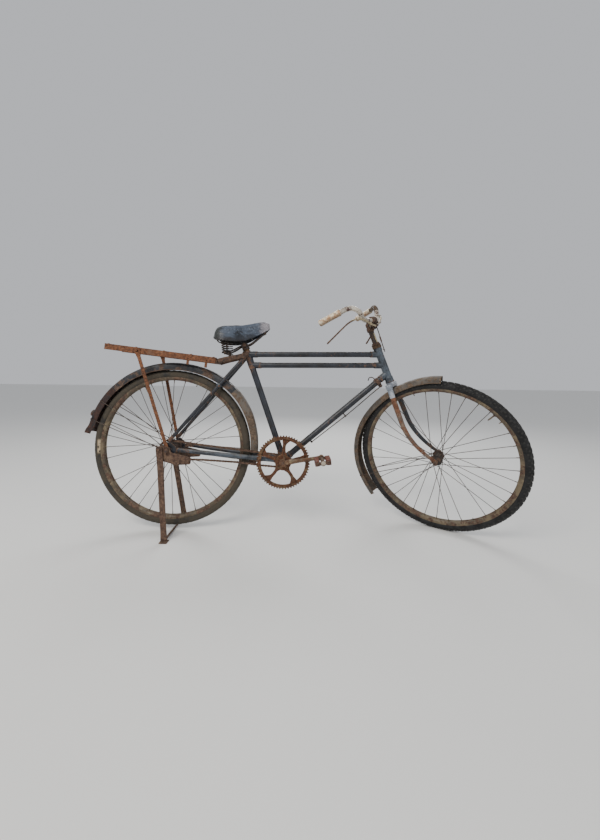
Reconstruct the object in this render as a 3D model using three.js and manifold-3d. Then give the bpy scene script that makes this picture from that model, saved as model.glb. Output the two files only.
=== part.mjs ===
// An old roadster bicycle with two top tubes, a rear carrier, rod brake levers and a
// two-legged rear stand. It is parked on its stand with the front wheel turned right.
// Units are millimetres. X is forward, Y is the rider's left and Z is up.
// The plan below puts the rear axle at x = 0 and the ground at z = 0. The last lines
// move the whole bicycle so that its origin is the middle of the ground below it.
import * as THREE from 'three';
import { mergeVertices } from 'three/addons/utils/BufferGeometryUtils.js';
import Module from 'manifold-3d';

const wasm = await Module();
wasm.setup();

// Driving dimensions: wheels
const TYRE_RADIUS = 351;
const TYRE_SECTION = 17;
const RIM_INNER_RADIUS = 309;
const RIM_HALF_WIDTH = 17.3;
const SPOKE_RADIUS = 1.4;
const WHEEL_SEGMENTS = 44;
const SPOKE_REACH = RIM_INNER_RADIUS - 1.5; // clear of the rim's flat facets
const REAR_AXLE_Z = 370;

// Driving dimensions: frame
const BRACKET_X = 502;
const BRACKET_Z = 318;
const SEAT_TUBE_ANGLE = 70.7;
const SEAT_LUG_Z = 812;
const HEAD_ANGLE = 68.4;
const STEERING_AXIS_X = 1110.7; // where the steering axis is as high as the rear axle
const HEAD_TUBE_U = [332, 510]; // along the steering axis, from that same point
const UPPER_TUBE_Z = [797, 805]; // at the seat tube and at the head tube
const LOWER_TUBE_Z = [748, 755];
const DOWN_TUBE_Z = 717.7; // at the head tube
const TUBE_RADIUS = 14;
const TOP_TUBE_RADIUS = 12.5;
const LUG_WALL = 2.2;
const LUG_LENGTH = 42;
const CHAINSTAY_RADIUS = 10;
const SEATSTAY_RADIUS = 8;
const DROPOUT_Y = 55.5;
const DROPOUT_THICKNESS = 5;

// Driving dimensions: fork and steering
const STEER_ANGLE = 35; // how far the front wheel stands turned to the right
const FORK_RAKE = 80;
const CROWN_U = 310.5;
const BLADE_SPREAD = [38, 55]; // sideways at the crown and at the axle

// Driving dimensions: crankset and chain
const CRANK_LENGTH = 170;
const CRANK_ANGLE = 9; // the right crank above level, pointing forward
const CHAINWHEEL_TEETH = 58;
const CHAINWHEEL_RADIUS = 119.5;
const CHAINWHEEL_Y = -49.5;
const SPROCKET_RADIUS = 36.6;
const SPROCKET_Y = -45;
const CHAIN_HEIGHT = 8;
const CHAIN_WIDTH = 8;

// Driving dimensions: stand
const STAND_PIVOT_X = -32;
const STAND_PIVOT_Z = 378;
const STAND_FOOT_X = 12;
const STAND_FOOT_Y = 123;

// A touching neighbour keeps this much room
const SEAM = 0.3;

const up = new THREE.Vector3(0, 1, 0);
const point = (x, y, z) => new THREE.Vector3(x, y, z);
const radians = THREE.MathUtils.degToRad;

// Colours of the weathered finishes: colour, metalness and roughness
const finish = (color, metalness, roughness) => new THREE.MeshStandardMaterial({ color, metalness, roughness });
const enamel = finish(0x20263a, 0.3, 0.5);
const rust = finish(0x8a4a2c, 0.3, 0.85);
const darkRust = finish(0x4a3028, 0.4, 0.8);
const guardPaint = finish(0x5a524a, 0.3, 0.7);
const rubber = finish(0x232428, 0, 0.85);
const ivory = finish(0xcdbb95, 0, 0.6);
const paleMetal = finish(0xb5a78f, 0.5, 0.5);
const seatCover = finish(0x2a3a58, 0, 0.6);
const lens = finish(0x7c2018, 0, 0.3);

// Solid geometry helpers

function fromArrays(positions, index) {
  const geometry = new THREE.BufferGeometry();
  geometry.setAttribute('position', new THREE.Float32BufferAttribute(positions, 3));
  geometry.setIndex(index);
  return geometry;
}

// A closed body from rings of points. The section is the ring's outline, for the end caps.
function loft(rings, section, closed = false) {
  const count = rings[0].length;
  const index = [];
  const bands = closed ? rings.length : rings.length - 1;
  for (let i = 0; i < bands; i += 1) {
    const a = i * count;
    const b = ((i + 1) % rings.length) * count;
    for (let j = 0; j < count; j += 1) {
      const k = (j + 1) % count;
      index.push(a + j, a + k, b + k, a + j, b + k, b + j);
    }
  }
  if (!closed) {
    const last = (rings.length - 1) * count;
    const flip = THREE.ShapeUtils.isClockWise(section);
    for (const face of THREE.ShapeUtils.triangulateShape(section, [])) {
      const [i, j, k] = flip ? face.reverse() : face;
      index.push(k, j, i, last + i, last + j, last + k);
    }
  }
  return outward(fromArrays(rings.flat().flatMap((p) => p.toArray()), index));
}

// Turns the faces so that they point out of the body.
function outward(geometry) {
  const at = geometry.getAttribute('position');
  const index = Array.from(geometry.index.array);
  const [a, b, c] = [point(0, 0, 0), point(0, 0, 0), point(0, 0, 0)];
  let volume = 0;
  for (let i = 0; i < index.length; i += 3) {
    a.fromBufferAttribute(at, index[i]);
    b.fromBufferAttribute(at, index[i + 1]);
    c.fromBufferAttribute(at, index[i + 2]);
    volume += a.dot(b.cross(c));
  }
  if (volume < 0) {
    geometry.setIndex(index.reverse());
  }
  return geometry;
}

const circle = (radius, sides = 12, flat = 1) => Array.from({ length: sides }, (_, i) => {
  const turn = ((i + 0.5) / sides) * 2 * Math.PI;
  return new THREE.Vector2(radius * Math.cos(turn), radius * flat * Math.sin(turn));
});

// Sweeps a section along a curve. A flat curve names its sideways direction.
function sweep(curve, steps, section, { side = null, closed = false } = {}) {
  const frames = side ? null : curve.computeFrenetFrames(steps, closed);
  const rings = [];
  for (let i = 0; i < (closed ? steps : steps + 1); i += 1) {
    const centre = curve.getPointAt(i / steps);
    const tangent = curve.getTangentAt(i / steps);
    const across = side ?? frames.binormals[i];
    const out = side ? side.clone().cross(tangent).normalize() : frames.normals[i];
    const outline = typeof section === 'function' ? section(i / steps) : section;
    rings.push(outline.map(({ x, y }) => centre.clone().addScaledVector(out, x).addScaledVector(across, y)));
  }
  const capOutline = typeof section === 'function' ? section(0) : section;
  return loft(rings, capOutline, closed);
}

// A round bar between two points.
function bar(from, to, radius, sides = 12, endRadius = radius) {
  const along = to.clone().sub(from);
  const geometry = new THREE.CylinderGeometry(endRadius, radius, along.length(), sides);
  geometry.applyQuaternion(new THREE.Quaternion().setFromUnitVectors(up, along.clone().normalize()));
  const middle = from.clone().lerp(to, 0.5);
  return geometry.translate(middle.x, middle.y, middle.z);
}

// A flat bar between two points, with its width at right angles to the sideways direction.
function flatBar(from, to, width, thickness, side = point(0, 1, 0)) {
  const along = to.clone().sub(from);
  const length = along.length();
  const out = side.clone().cross(along).normalize();
  const across = along.clone().cross(out).normalize();
  const geometry = new THREE.BoxGeometry(length, width, thickness);
  geometry.applyMatrix4(new THREE.Matrix4().makeBasis(along.normalize(), out, across));
  const middle = from.clone().lerp(to, 0.5);
  return geometry.translate(middle.x, middle.y, middle.z);
}

// The radius of a bore whose flat facets clear a round bar inside it.
const boreRadius = (radius, sides) => (radius + SEAM) / Math.cos(Math.PI / sides);

// The point that lies a length from one end towards the other.
const towards = (from, to, length) => from.clone().addScaledVector(to.clone().sub(from).normalize(), length);

// A plate in the X and Z plane, from its outline, its holes and its two faces' y.
function plate(outline, yLow, yHigh, holes = []) {
  const shape = new THREE.Shape(outline.map(([x, z]) => new THREE.Vector2(x, z)));
  for (const [x, z, radius] of holes) {
    const hole = new THREE.Path();
    hole.absarc(x, z, radius, 0, 2 * Math.PI);
    shape.holes.push(hole);
  }
  const geometry = new THREE.ExtrudeGeometry(shape, {
    depth: yHigh - yLow, bevelEnabled: false, curveSegments: 5,
  });
  return geometry.rotateX(Math.PI / 2).translate(0, yHigh, 0);
}

// A ring turned about the Y axis from its closed outline of radius and y.
function turned(outline, segments) {
  const loop = [...outline, outline[0]].map(([radius, y]) => new THREE.Vector2(radius, y));
  return welded(new THREE.LatheGeometry(loop, segments));
}

// The same body with its shared vertices merged and its faces pointing out.
function welded(geometry) {
  const bare = geometry.clone();
  bare.deleteAttribute('normal');
  bare.deleteAttribute('uv');
  return outward(mergeVertices(bare, 1e-4));
}

function toSolid(geometry) {
  const body = welded(geometry);
  return new wasm.Manifold(new wasm.Mesh({
    numProp: 3,
    vertProperties: new Float32Array(body.getAttribute('position').array),
    triVerts: new Uint32Array(body.index.array),
  }));
}

function fromSolid(solid) {
  const { vertProperties, triVerts } = solid.getMesh();
  return fromArrays(Array.from(vertProperties), Array.from(triVerts));
}

const join = (...pieces) => fromSolid(pieces.map(toSolid).reduce((all, piece) => all.add(piece)));
const cut = (piece, ...tools) => fromSolid(tools.map(toSolid).reduce((all, tool) => all.subtract(tool), toSolid(piece)));

function addMesh(parent, name, geometry, material) {
  const mesh = new THREE.Mesh(geometry, material);
  mesh.name = name;
  parent.add(mesh);
  return mesh;
}

// Places that the frame's pieces share

const REAR_AXLE = point(0, 0, REAR_AXLE_Z);
const BRACKET = point(BRACKET_X, 0, BRACKET_Z);
const headSine = Math.sin(radians(HEAD_ANGLE));
const headCosine = Math.cos(radians(HEAD_ANGLE));
const onHeadAxis = (u) => point(STEERING_AXIS_X - u * headCosine, 0, REAR_AXLE_Z + u * headSine);
const headAtHeight = (z) => onHeadAxis((z - REAR_AXLE_Z) / headSine);
const seatAtHeight = (z) => point(BRACKET_X - (z - BRACKET_Z) / Math.tan(radians(SEAT_TUBE_ANGLE)), 0, z);
const SIDES = [['right', -1], ['left', 1]];

const bicycle = new THREE.Group();

// Wheels, built about their own axle along Y

function tyre() {
  const centre = TYRE_RADIUS - TYRE_SECTION;
  return turned(circle(TYRE_SECTION, 10).map(({ x, y }) => [centre + x, y]), WHEEL_SEGMENTS);
}

function rim() {
  const inner = RIM_INNER_RADIUS;
  const half = RIM_HALF_WIDTH;
  // radius and y of one half of the section, mirrored for the other
  const side = [[inner, 7], [inner + 8, half - 1.5], [inner + 17, half], [inner + 17, half - 1.6], [inner + 7, 6]];
  const other = side.map(([radius, y]) => [radius, -y]).reverse();
  return turned([...side, ...other], WHEEL_SEGMENTS);
}

// The hub shell with its spokes. Missing spokes leave their places empty.
function spokedHub({ flanges, flangeRadius, barrel, bore, spokes, missing }) {
  const [right, left] = flanges;
  const shell = turned([
    [bore, right - 6], [barrel - 2, right - 6], [flangeRadius, right - 3.2], [flangeRadius, right + 3.2],
    [barrel, right + 5], [barrel, left - 5], [flangeRadius, left - 3.2],
    [flangeRadius, left + 3.2], [barrel - 2, left + 6], [bore, left + 6],
  ], 16);
  const rods = [];
  for (let i = 0; i < spokes; i += 1) {
    if (missing.includes(i)) continue;
    const onRight = i % 2 === 0;
    const lean = (Math.floor(i / 2) % 2 === 0 ? 1 : -1) * radians(62);
    const rimTurn = (i / spokes) * 2 * Math.PI;
    const hubTurn = rimTurn + lean;
    const reach = flangeRadius - 3;
    const y = onRight ? right : left;
    const lift = (Math.floor(i / 4) % 2 === 0 ? 1 : -1) * 0.9;
    rods.push(bar(
      point(reach * Math.cos(hubTurn), y + lift, reach * Math.sin(hubTurn)),
      point(SPOKE_REACH * Math.cos(rimTurn), onRight ? -3 : 3, SPOKE_REACH * Math.sin(rimTurn)),
      SPOKE_RADIUS,
      3,
    ));
  }
  return join(shell, ...rods);
}

function addWheel(parent, name, hub) {
  addMesh(parent, `${name}_tyre`, tyre(), rubber);
  addMesh(parent, `${name}_rim`, rim(), rust);
  addMesh(parent, `${name}_hub_and_spokes`, spokedHub(hub), darkRust);
}

// An axle with its cones' locknuts inside the fork ends and its nuts outside.
function axle({ radius, half, lockRadius, lock, nutRadius, nut }) {
  const rod = bar(point(0, -half, 0), point(0, half, 0), radius, 10);
  const nuts = SIDES.flatMap(([, s]) => [
    bar(point(0, s * lock[0], 0), point(0, s * lock[1], 0), lockRadius, 12),
    bar(point(0, s * nut[0], 0), point(0, s * nut[1], 0), nutRadius, 6),
  ]);
  return join(rod, ...nuts);
}

const rearWheel = new THREE.Group();
rearWheel.position.copy(REAR_AXLE);
addWheel(rearWheel, 'rear', {
  flanges: [-27, 30], flangeRadius: 29, barrel: 15, bore: 6.2, spokes: 36, missing: [7, 20, 33],
});
addMesh(rearWheel, 'rear_axle', axle({
  radius: 5, half: 88, lockRadius: 9, lock: [38, 55.2], nutRadius: 10, nut: [74, 84],
}), darkRust);
bicycle.add(rearWheel);

// Frame tubes and lugs

const headTop = onHeadAxis(HEAD_TUBE_U[1]);
const headFoot = onHeadAxis(HEAD_TUBE_U[0]);
const tubes = [
  // name, end on the seat or bracket side, end on the head axis, radius
  ['upper_top_tube', seatAtHeight(UPPER_TUBE_Z[0]), headAtHeight(UPPER_TUBE_Z[1]), TOP_TUBE_RADIUS],
  ['lower_top_tube', seatAtHeight(LOWER_TUBE_Z[0]), headAtHeight(LOWER_TUBE_Z[1]), TOP_TUBE_RADIUS],
  ['down_tube', BRACKET, headAtHeight(DOWN_TUBE_Z), TUBE_RADIUS],
];

for (const [name, low, high, radius] of tubes) {
  const gap = LUG_LENGTH + SEAM;
  addMesh(bicycle, name, bar(towards(low, high, gap), towards(high, low, gap), radius), enamel);
}

function headTube() {
  const sleeves = tubes.map(([, low, high, radius]) => bar(high, towards(high, low, LUG_LENGTH), radius + LUG_WALL));
  const collars = [[0, 26], [-26, 0]].map(([from, to], i) => {
    const end = HEAD_TUBE_U[i];
    return bar(onHeadAxis(end + from), onHeadAxis(end + to), 17 + LUG_WALL, 16);
  });
  const body = join(bar(headFoot, headTop, 17, 16), ...collars, ...sleeves);
  return cut(body, bar(onHeadAxis(HEAD_TUBE_U[0] - 5), onHeadAxis(HEAD_TUBE_U[1] + 5), 13.5, 12));
}
addMesh(bicycle, 'head_tube', headTube(), enamel);

const seatTop = seatAtHeight(SEAT_LUG_Z);
function seatTube() {
  const sleeves = tubes.slice(0, 2).map(([, low, high, radius]) => bar(low, towards(low, high, LUG_LENGTH), radius + LUG_WALL));
  return join(
    bar(towards(BRACKET, seatTop, LUG_LENGTH + SEAM), seatTop, TUBE_RADIUS),
    bar(towards(seatTop, BRACKET, 78), seatTop, TUBE_RADIUS + LUG_WALL),
    ...sleeves,
  );
}
addMesh(bicycle, 'seat_tube', seatTube(), enamel);

const stayFoot = (s) => point(36.5, s * 58, 371);
const stayHead = (s) => point(BRACKET_X, s * 24, BRACKET_Z);
function bracketShell() {
  const sockets = [
    bar(BRACKET, towards(BRACKET, seatTop, LUG_LENGTH), TUBE_RADIUS + LUG_WALL),
    bar(BRACKET, towards(BRACKET, tubes[2][2], LUG_LENGTH), TUBE_RADIUS + LUG_WALL),
    ...SIDES.map(([, s]) => bar(stayHead(s), towards(stayHead(s), stayFoot(s), LUG_LENGTH), CHAINSTAY_RADIUS + LUG_WALL)),
  ];
  const shell = bar(point(BRACKET_X, -34, BRACKET_Z), point(BRACKET_X, 34, BRACKET_Z), 22, 20);
  return cut(join(shell, ...sockets), bar(point(BRACKET_X, -60, BRACKET_Z), point(BRACKET_X, 60, BRACKET_Z), 9, 12));
}
addMesh(bicycle, 'bottom_bracket_shell', bracketShell(), enamel);

// The dropout's outline about the axle, in x and z from the axle
const dropoutOutline = [[-12, -13], [-12, 5], [-7, 33], [12, 34], [34, 14], [34, -13], [8, -20]];
const atAxle = (outline) => outline.map(([x, z]) => [x, z + REAR_AXLE_Z]);
const faces = (s, near, far) => (s < 0 ? [-far, -near] : [near, far]);

for (const [name, s] of SIDES) {
  const foot = stayFoot(s);
  const socket = towards(stayHead(s), foot, LUG_LENGTH + SEAM);
  addMesh(bicycle, `chainstay_${name}`, bar(foot, socket, CHAINSTAY_RADIUS), enamel);
  const seatFoot = point(3, s * 58, REAR_AXLE_Z + 40);
  const seatHead = point(331, s * 25.5, 792);
  addMesh(bicycle, `seatstay_${name}`, bar(seatFoot, seatHead, SEATSTAY_RADIUS), enamel);
  const sides = faces(s, DROPOUT_Y, DROPOUT_Y + DROPOUT_THICKNESS);
  addMesh(bicycle, `dropout_${name}`, plate(atAxle(dropoutOutline), ...sides, [[0, REAR_AXLE_Z, 5.6]]), enamel);
}

// Mudguards

// The section of a mudguard, with its crown at the top: a bent sheet with turned edges.
function guardSection(half, depth) {
  const thickness = 2.4;
  const outer = [
    [-half, -depth], [-half * 0.86, -6], [-half * 0.46, 0], [half * 0.46, 0], [half * 0.86, -6], [half, -depth],
  ];
  const inner = outer.map(([y, r]) => [y * (1 - thickness / half), r - thickness * (r < -10 ? 0 : 1)]).reverse();
  return [...outer, ...inner].map(([y, r]) => new THREE.Vector2(r, y));
}

// A mudguard in the X and Z plane about its axle, from its outer radius and half width at each angle.
function guard(from, to, steps, depth, radiusAt, halfAt) {
  const rings = [];
  for (let i = 0; i <= steps; i += 1) {
    const angle = radians(from + ((to - from) * i) / steps);
    const radius = radiusAt(THREE.MathUtils.radToDeg(angle));
    const section = guardSection(halfAt(THREE.MathUtils.radToDeg(angle)), depth);
    rings.push(section.map(({ x, y }) => point((radius + x) * Math.cos(angle), y, (radius + x) * Math.sin(angle))));
  }
  return loft(rings, guardSection(halfAt(from), depth));
}

const GUARD_RADIUS = 385;
const GUARD_HALF_WIDTH = 27;
const bulge = (angle, middle, reach) => Math.max(0, Math.cos(radians(((angle - middle) / reach) * 90))) ** 2;
const REAR_GUARD_DEPTH = 31;
const rearGuardRadius = (angle) => GUARD_RADIUS
  + (Math.abs(angle - 38) < 50 ? 9 * bulge(angle, 38, 50) : 0)
  + 12 * THREE.MathUtils.smoothstep(angle, 163.5, 170);
// narrow between the chainstays, and spread where the seatstays grip it
const rearGuardHalf = (angle) => THREE.MathUtils.lerp(15.5, GUARD_HALF_WIDTH, THREE.MathUtils.smoothstep(angle, 6, 26))
  + (Math.abs(angle - 53) < 16 ? 1.5 * bulge(angle, 53, 16) : 0);
const rearGuard = guard(-3, 170, 28, REAR_GUARD_DEPTH, rearGuardRadius, rearGuardHalf);
rearGuard.translate(0, 0, REAR_AXLE_Z);
addMesh(bicycle, 'rear_mudguard', rearGuard, guardPaint);

const aroundRearAxle = (radius, angle, y = 0) => point(
  radius * Math.cos(radians(angle)),
  y,
  REAR_AXLE_Z + radius * Math.sin(radians(angle)),
);
addMesh(bicycle, 'rear_reflector', bar(
  aroundRearAxle(GUARD_RADIUS + SEAM, 157),
  aroundRearAxle(GUARD_RADIUS + 15, 157),
  15,
  16,
), lens);

// A round eye on an axle, as a short ring.
const eye = (centre, y, thickness, radius, bore) => cut(
  bar(point(centre.x, y - thickness / 2, centre.z), point(centre.x, y + thickness / 2, centre.z), radius, 14),
  bar(point(centre.x, y - 20, centre.z), point(centre.x, y + 20, centre.z), bore, 10),
);

for (const [name, s] of SIDES) {
  const y = s * 63.1;
  const start = towards(point(0, y, REAR_AXLE_Z), point(-325, y, 520), 8.5);
  const end = aroundRearAxle(GUARD_RADIUS - 17, 153, s * (GUARD_HALF_WIDTH + 2.6));
  const wire = bar(start, end, 1.5, 5);
  addMesh(bicycle, `rear_mudguard_stay_${name}`, join(eye(REAR_AXLE, y, 2.4, 9, 5.6), wire), darkRust);
}

// Carrier

const RAIL_REAR = point(-272, 0, 832);
const RAIL_FRONT = point(205, 0, 776);
const RAIL_Y = 70;
const alongRail = (share, y, drop = 0) => {
  const place = RAIL_REAR.clone().lerp(RAIL_FRONT, share);
  return point(place.x, y, place.z - drop);
};
function carrierFrame() {
  const straps = [0.02, 0.27, 0.52, 0.77, 0.975];
  return join(
    ...SIDES.flatMap(([, s]) => [
      flatBar(alongRail(0, s * RAIL_Y, 12.5), alongRail(1, s * RAIL_Y, 12.5), 25, 3),
      flatBar(alongRail(0, s * (RAIL_Y - 10), 1.5), alongRail(1, s * (RAIL_Y - 10), 1.5), 3, 23),
    ]),
    ...straps.map((share) => {
      const centre = alongRail(share, 0, 3.5);
      const strap = new THREE.BoxGeometry(22, 2 * RAIL_Y - 2, 3);
      strap.rotateY(Math.atan2(RAIL_REAR.z - RAIL_FRONT.z, RAIL_FRONT.x - RAIL_REAR.x));
      return strap.translate(centre.x, centre.y, centre.z);
    }),
  );
}
addMesh(bicycle, 'carrier_frame', carrierFrame(), rust);

// The bent left stay meets its rail further forward than the right one.
const CARRIER_STAY_SHARES = [0.29, 0.39];
for (const [i, [name, s]] of SIDES.entries()) {
  const y = s * 66.8;
  const foot = point(0, y, REAR_AXLE_Z);
  const head = alongRail(CARRIER_STAY_SHARES[i], s * (RAIL_Y + 1.5 + SEAM + 2), 12);
  const strip = flatBar(towards(foot, head, 9), towards(head, foot, -8), 13, 3.6);
  addMesh(bicycle, `carrier_stay_${name}`, join(eye(REAR_AXLE, y, 3.6, 10.5, 5.6), strip), rust);
}

function carrierClamp() {
  const arms = SIDES.map(([, s]) => flatBar(point(200, s * 56, 759.4), point(340, s * (33.5 + SEAM + 2.2), 796), 20, 4));
  const bridge = new THREE.BoxGeometry(22, 120, 4);
  bridge.rotateY(-0.27).translate(196, 0, 758.4);
  return join(bridge, ...arms);
}
addMesh(bicycle, 'carrier_clamp', carrierClamp(), rust);

// Saddle and seat post

// place along x, half width, top and skirt heights
const saddleSections = [
  [195, 72, 893, 866],
  [211, 98, 915, 853],
  [238, 104, 922, 849],
  [278, 92, 925, 849],
  [318, 60, 929, 853],
  [358, 37, 938, 870],
  [400, 25, 945, 894],
  [431, 17, 939, 914],
];
function saddleOutline(half, top, skirt) {
  const arch = [-1, -0.82, -0.5, 0, 0.5, 0.82, 1].map((share) => [
    share * half,
    top - (top - skirt) * 0.72 * Math.abs(share) ** 2.6,
  ]);
  return [...arch, [half * 0.97, skirt], [-half * 0.97, skirt]];
}
const saddleRings = saddleSections.map(([x, half, top, skirt]) => saddleOutline(half, top, skirt).map(([y, z]) => point(x, y, z)));
const saddleCap = saddleOutline(10, 10, 0).map(([y, z]) => new THREE.Vector2(y, z));
addMesh(bicycle, 'saddle_cover', loft(saddleRings, saddleCap), seatCover);

const POST_TOP = towards(seatTop, BRACKET, -26);
const POST_RADIUS = 13;
addMesh(bicycle, 'seat_post', bar(towards(seatTop, BRACKET, -SEAM), POST_TOP, POST_RADIUS), darkRust);

// The clamp, the two coil springs' outer shapes, the plate that they stand on and the nose rails
function saddleFrame() {
  const springFoot = 797;
  const springs = SIDES.map(([, s]) => bar(point(242, s * 48, springFoot), point(242, s * 48, 848.6), 17));
  const yoke = bar(point(244, -66, springFoot + 3), point(244, 66, springFoot + 3), 5, 8);
  const rails = SIDES.flatMap(([, s]) => [
    bar(point(246, s * 34, springFoot + 4), point(306, s * 20, 832), 4, 8),
    bar(point(306, s * 20, 832), point(336, s * 18, 838), 4, 8),
    bar(point(336, s * 18, 838), point(404, s * 9, 889), 4, 8),
  ]);
  const clamp = bar(point(320, -28, 836.5), point(320, 28, 836.5), 11.5, 12);
  const nose = bar(point(404, -11, 888), point(404, 11, 888), 4, 8);
  const body = join(...springs, yoke, ...rails, clamp, nose);
  return cut(body, bar(seatTop, towards(POST_TOP, seatTop, -SEAM), boreRadius(POST_RADIUS, 12)));
}
addMesh(bicycle, 'saddle_frame', saddleFrame(), darkRust);

// Sprocket and chain

function sprocket() {
  const y = SPROCKET_Y;
  return turned([
    [9.8, y - 8], [24, y - 8], [24, y - 2], [SPROCKET_RADIUS, y - 2],
    [SPROCKET_RADIUS, y + 2], [24, y + 2], [24, y + 11.5], [9.8, y + 11.5],
  ], 24).translate(0, 0, REAR_AXLE_Z);
}
addMesh(bicycle, 'sprocket', sprocket(), darkRust);

// The chain has jumped off the chainwheel: it runs round the sprocket and the bracket shell.
function chain() {
  const rearTurn = SPROCKET_RADIUS + 3 * SEAM + CHAIN_HEIGHT / 2;
  const frontTurn = 22 + 3 * SEAM + CHAIN_HEIGHT / 2;
  const frontY = -30;
  const place = [];
  const arc = (centre, y, radius, from, to, steps) => {
    for (let i = 0; i <= steps; i += 1) {
      const angle = radians(from + ((to - from) * i) / steps);
      place.push(point(centre.x + radius * Math.cos(angle), y, centre.z + radius * Math.sin(angle)));
    }
  };
  arc(REAR_AXLE, SPROCKET_Y, rearTurn, 277, 82, 12);
  place.push(point(120, -41, 393), point(250, -37, 377), point(373, -34, 361.5));
  arc(BRACKET, frontY, frontTurn, 80, -97, 10);
  place.push(point(410, -33, 299), point(300, -37, 314), point(150, -41, 324));
  const steps = place.length;
  const rings = place.map((centre, i) => {
    const tangent = place[(i + 1) % steps].clone().sub(place[(i + steps - 1) % steps]).normalize();
    const out = point(0, 1, 0).cross(tangent).normalize();
    const across = tangent.clone().cross(out).normalize();
    const [h, w] = [CHAIN_HEIGHT / 2, CHAIN_WIDTH / 2];
    return [[h, w], [h, -w], [-h, -w], [-h, w]].map(([a, b]) => centre.clone().addScaledVector(out, a).addScaledVector(across, b));
  });
  return loft(rings, null, true);
}
addMesh(bicycle, 'chain', chain(), darkRust);

// Crankset, about the bracket's axis

const crankset = new THREE.Group();
crankset.position.copy(BRACKET);
crankset.rotation.y = -radians(CRANK_ANGLE);

function chainwheel() {
  const shape = new THREE.Shape();
  const root = CHAINWHEEL_RADIUS - 4;
  const step = (2 * Math.PI) / CHAINWHEEL_TEETH;
  for (let i = 0; i < CHAINWHEEL_TEETH; i += 1) {
    for (const [share, radius] of [[0, root], [0.5, CHAINWHEEL_RADIUS]]) {
      const turn = (i + share) * step;
      const [x, y] = [radius * Math.cos(turn), radius * Math.sin(turn)];
      if (i === 0 && share < 0.1) shape.moveTo(x, y);
      else shape.lineTo(x, y);
    }
  }
  const arms = 5;
  const [inner, outer] = [34, 98];
  for (let i = 0; i < arms; i += 1) {
    const start = ((i + 0.14) / arms) * 2 * Math.PI;
    const end = ((i + 0.86) / arms) * 2 * Math.PI;
    const window = new THREE.Path();
    window.absarc(0, 0, outer, start - 0.08, end + 0.08, false);
    window.absarc(0, 0, inner, end - 0.12, start + 0.12, true);
    window.closePath();
    shape.holes.push(window);
  }
  const bore = new THREE.Path();
  bore.absarc(0, 0, 8.3, 0, 2 * Math.PI, true);
  shape.holes.push(bore);
  const geometry = new THREE.ExtrudeGeometry(shape, { depth: 3, bevelEnabled: false, curveSegments: 8 });
  return geometry.rotateX(Math.PI / 2).translate(0, CHAINWHEEL_Y + 1.5, 0);
}
addMesh(crankset, 'chainwheel', chainwheel(), rust);
addMesh(crankset, 'crank_spindle', bar(point(0, -66, 0), point(0, 66, 0), 8, 12), darkRust);

const PEDAL_Y = [79, 170];
for (const [name, s] of SIDES) {
  const reach = -s * CRANK_LENGTH;
  const [near, far] = [s * 52.5, s * 68];
  const arm = join(
    bar(point(0, near, 0), point(0, far, 0), 17, 16),
    flatBar(point(0, s * 62, 0), point(reach, s * 66, 0), 20, 11),
    bar(point(reach, s * 59, 0), point(reach, s * 73, 0), 12, 14),
  );
  const bored = cut(arm, bar(point(0, s * 40, 0), point(0, s * 80, 0), 8.3, 12));
  addMesh(crankset, `crank_${name}`, bored, rust);
}
bicycle.add(crankset);

// A pedal about its own axle: end plates, rubber blocks and the axle's sleeve
const PEDAL_TILT = [-8, 12];
function pedal(s) {
  const [near, far] = PEDAL_Y.map((y) => s * y);
  const blocks = [-24, 24].map((x) => {
    const block = new THREE.BoxGeometry(19, Math.abs(far - near) - 4, 24);
    return block.translate(x, (near + far) / 2, 0);
  });
  const ends = [near + s * 3, far - s * 3].map((y) => new THREE.BoxGeometry(62, 4, 16).translate(0, y, 0));
  const sleeve = bar(point(0, near, 0), point(0, far, 0), 9, 12);
  const tip = bar(point(0, s * 73.3, 0), point(0, near + s, 0), 5, 8);
  return join(...blocks, ...ends, sleeve, tip);
}
SIDES.forEach(([name, s], i) => {
  const place = new THREE.Group();
  const angle = radians(CRANK_ANGLE);
  place.position.set(BRACKET_X - s * CRANK_LENGTH * Math.cos(angle), 0, BRACKET_Z - s * CRANK_LENGTH * Math.sin(angle));
  place.rotation.y = radians(PEDAL_TILT[i]);
  addMesh(place, `pedal_${name}`, pedal(s), rubber);
  bicycle.add(place);
});

// Stand and its brackets

const bracketOutline = [[-45, 0], [-42, 18], [-20, 21], [10, 16], [18, -8], [104, -28], [102, -58], [40, -62], [-30, -42]];
for (const [name, s] of SIDES) {
  const holes = [[0, REAR_AXLE_Z, 5.6], [STAND_PIVOT_X, STAND_PIVOT_Z, 4.6]];
  addMesh(bicycle, `stand_bracket_${name}`, plate(atAxle(bracketOutline), ...faces(s, 69.6, 73.6), holes), rust);
}

const STAND_PIVOT = point(STAND_PIVOT_X, 0, STAND_PIVOT_Z);
function standLegs() {
  const legY = 78;
  const parts = SIDES.flatMap(([, s]) => {
    const top = point(STAND_PIVOT_X, s * legY, STAND_PIVOT_Z);
    const knee = point(STAND_PIVOT_X + 7, s * (legY + 2), STAND_PIVOT_Z - 60);
    const foot = point(STAND_FOOT_X, s * STAND_FOOT_Y, 5);
    const sole = new THREE.BoxGeometry(34, 30, 4).translate(STAND_FOOT_X, s * STAND_FOOT_Y, 2);
    return [
      bar(point(top.x, s * 74.4, top.z), point(top.x, s * 82, top.z), 13, 14),
      bar(point(top.x, s * 68, top.z), point(top.x, s * 85, top.z), 4.2, 8),
      flatBar(top, knee, 26, 6),
      flatBar(towards(knee, foot, -4), foot, 26, 6),
      sole,
    ];
  });
  const crossbar = bar(point(STAND_FOOT_X, -STAND_FOOT_Y, 6), point(STAND_FOOT_X, STAND_FOOT_Y, 6), 4.5, 8);
  return join(...parts, crossbar);
}
addMesh(bicycle, 'stand', standLegs(), rust);

// Band, hook and brake rod below the down tube

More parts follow.
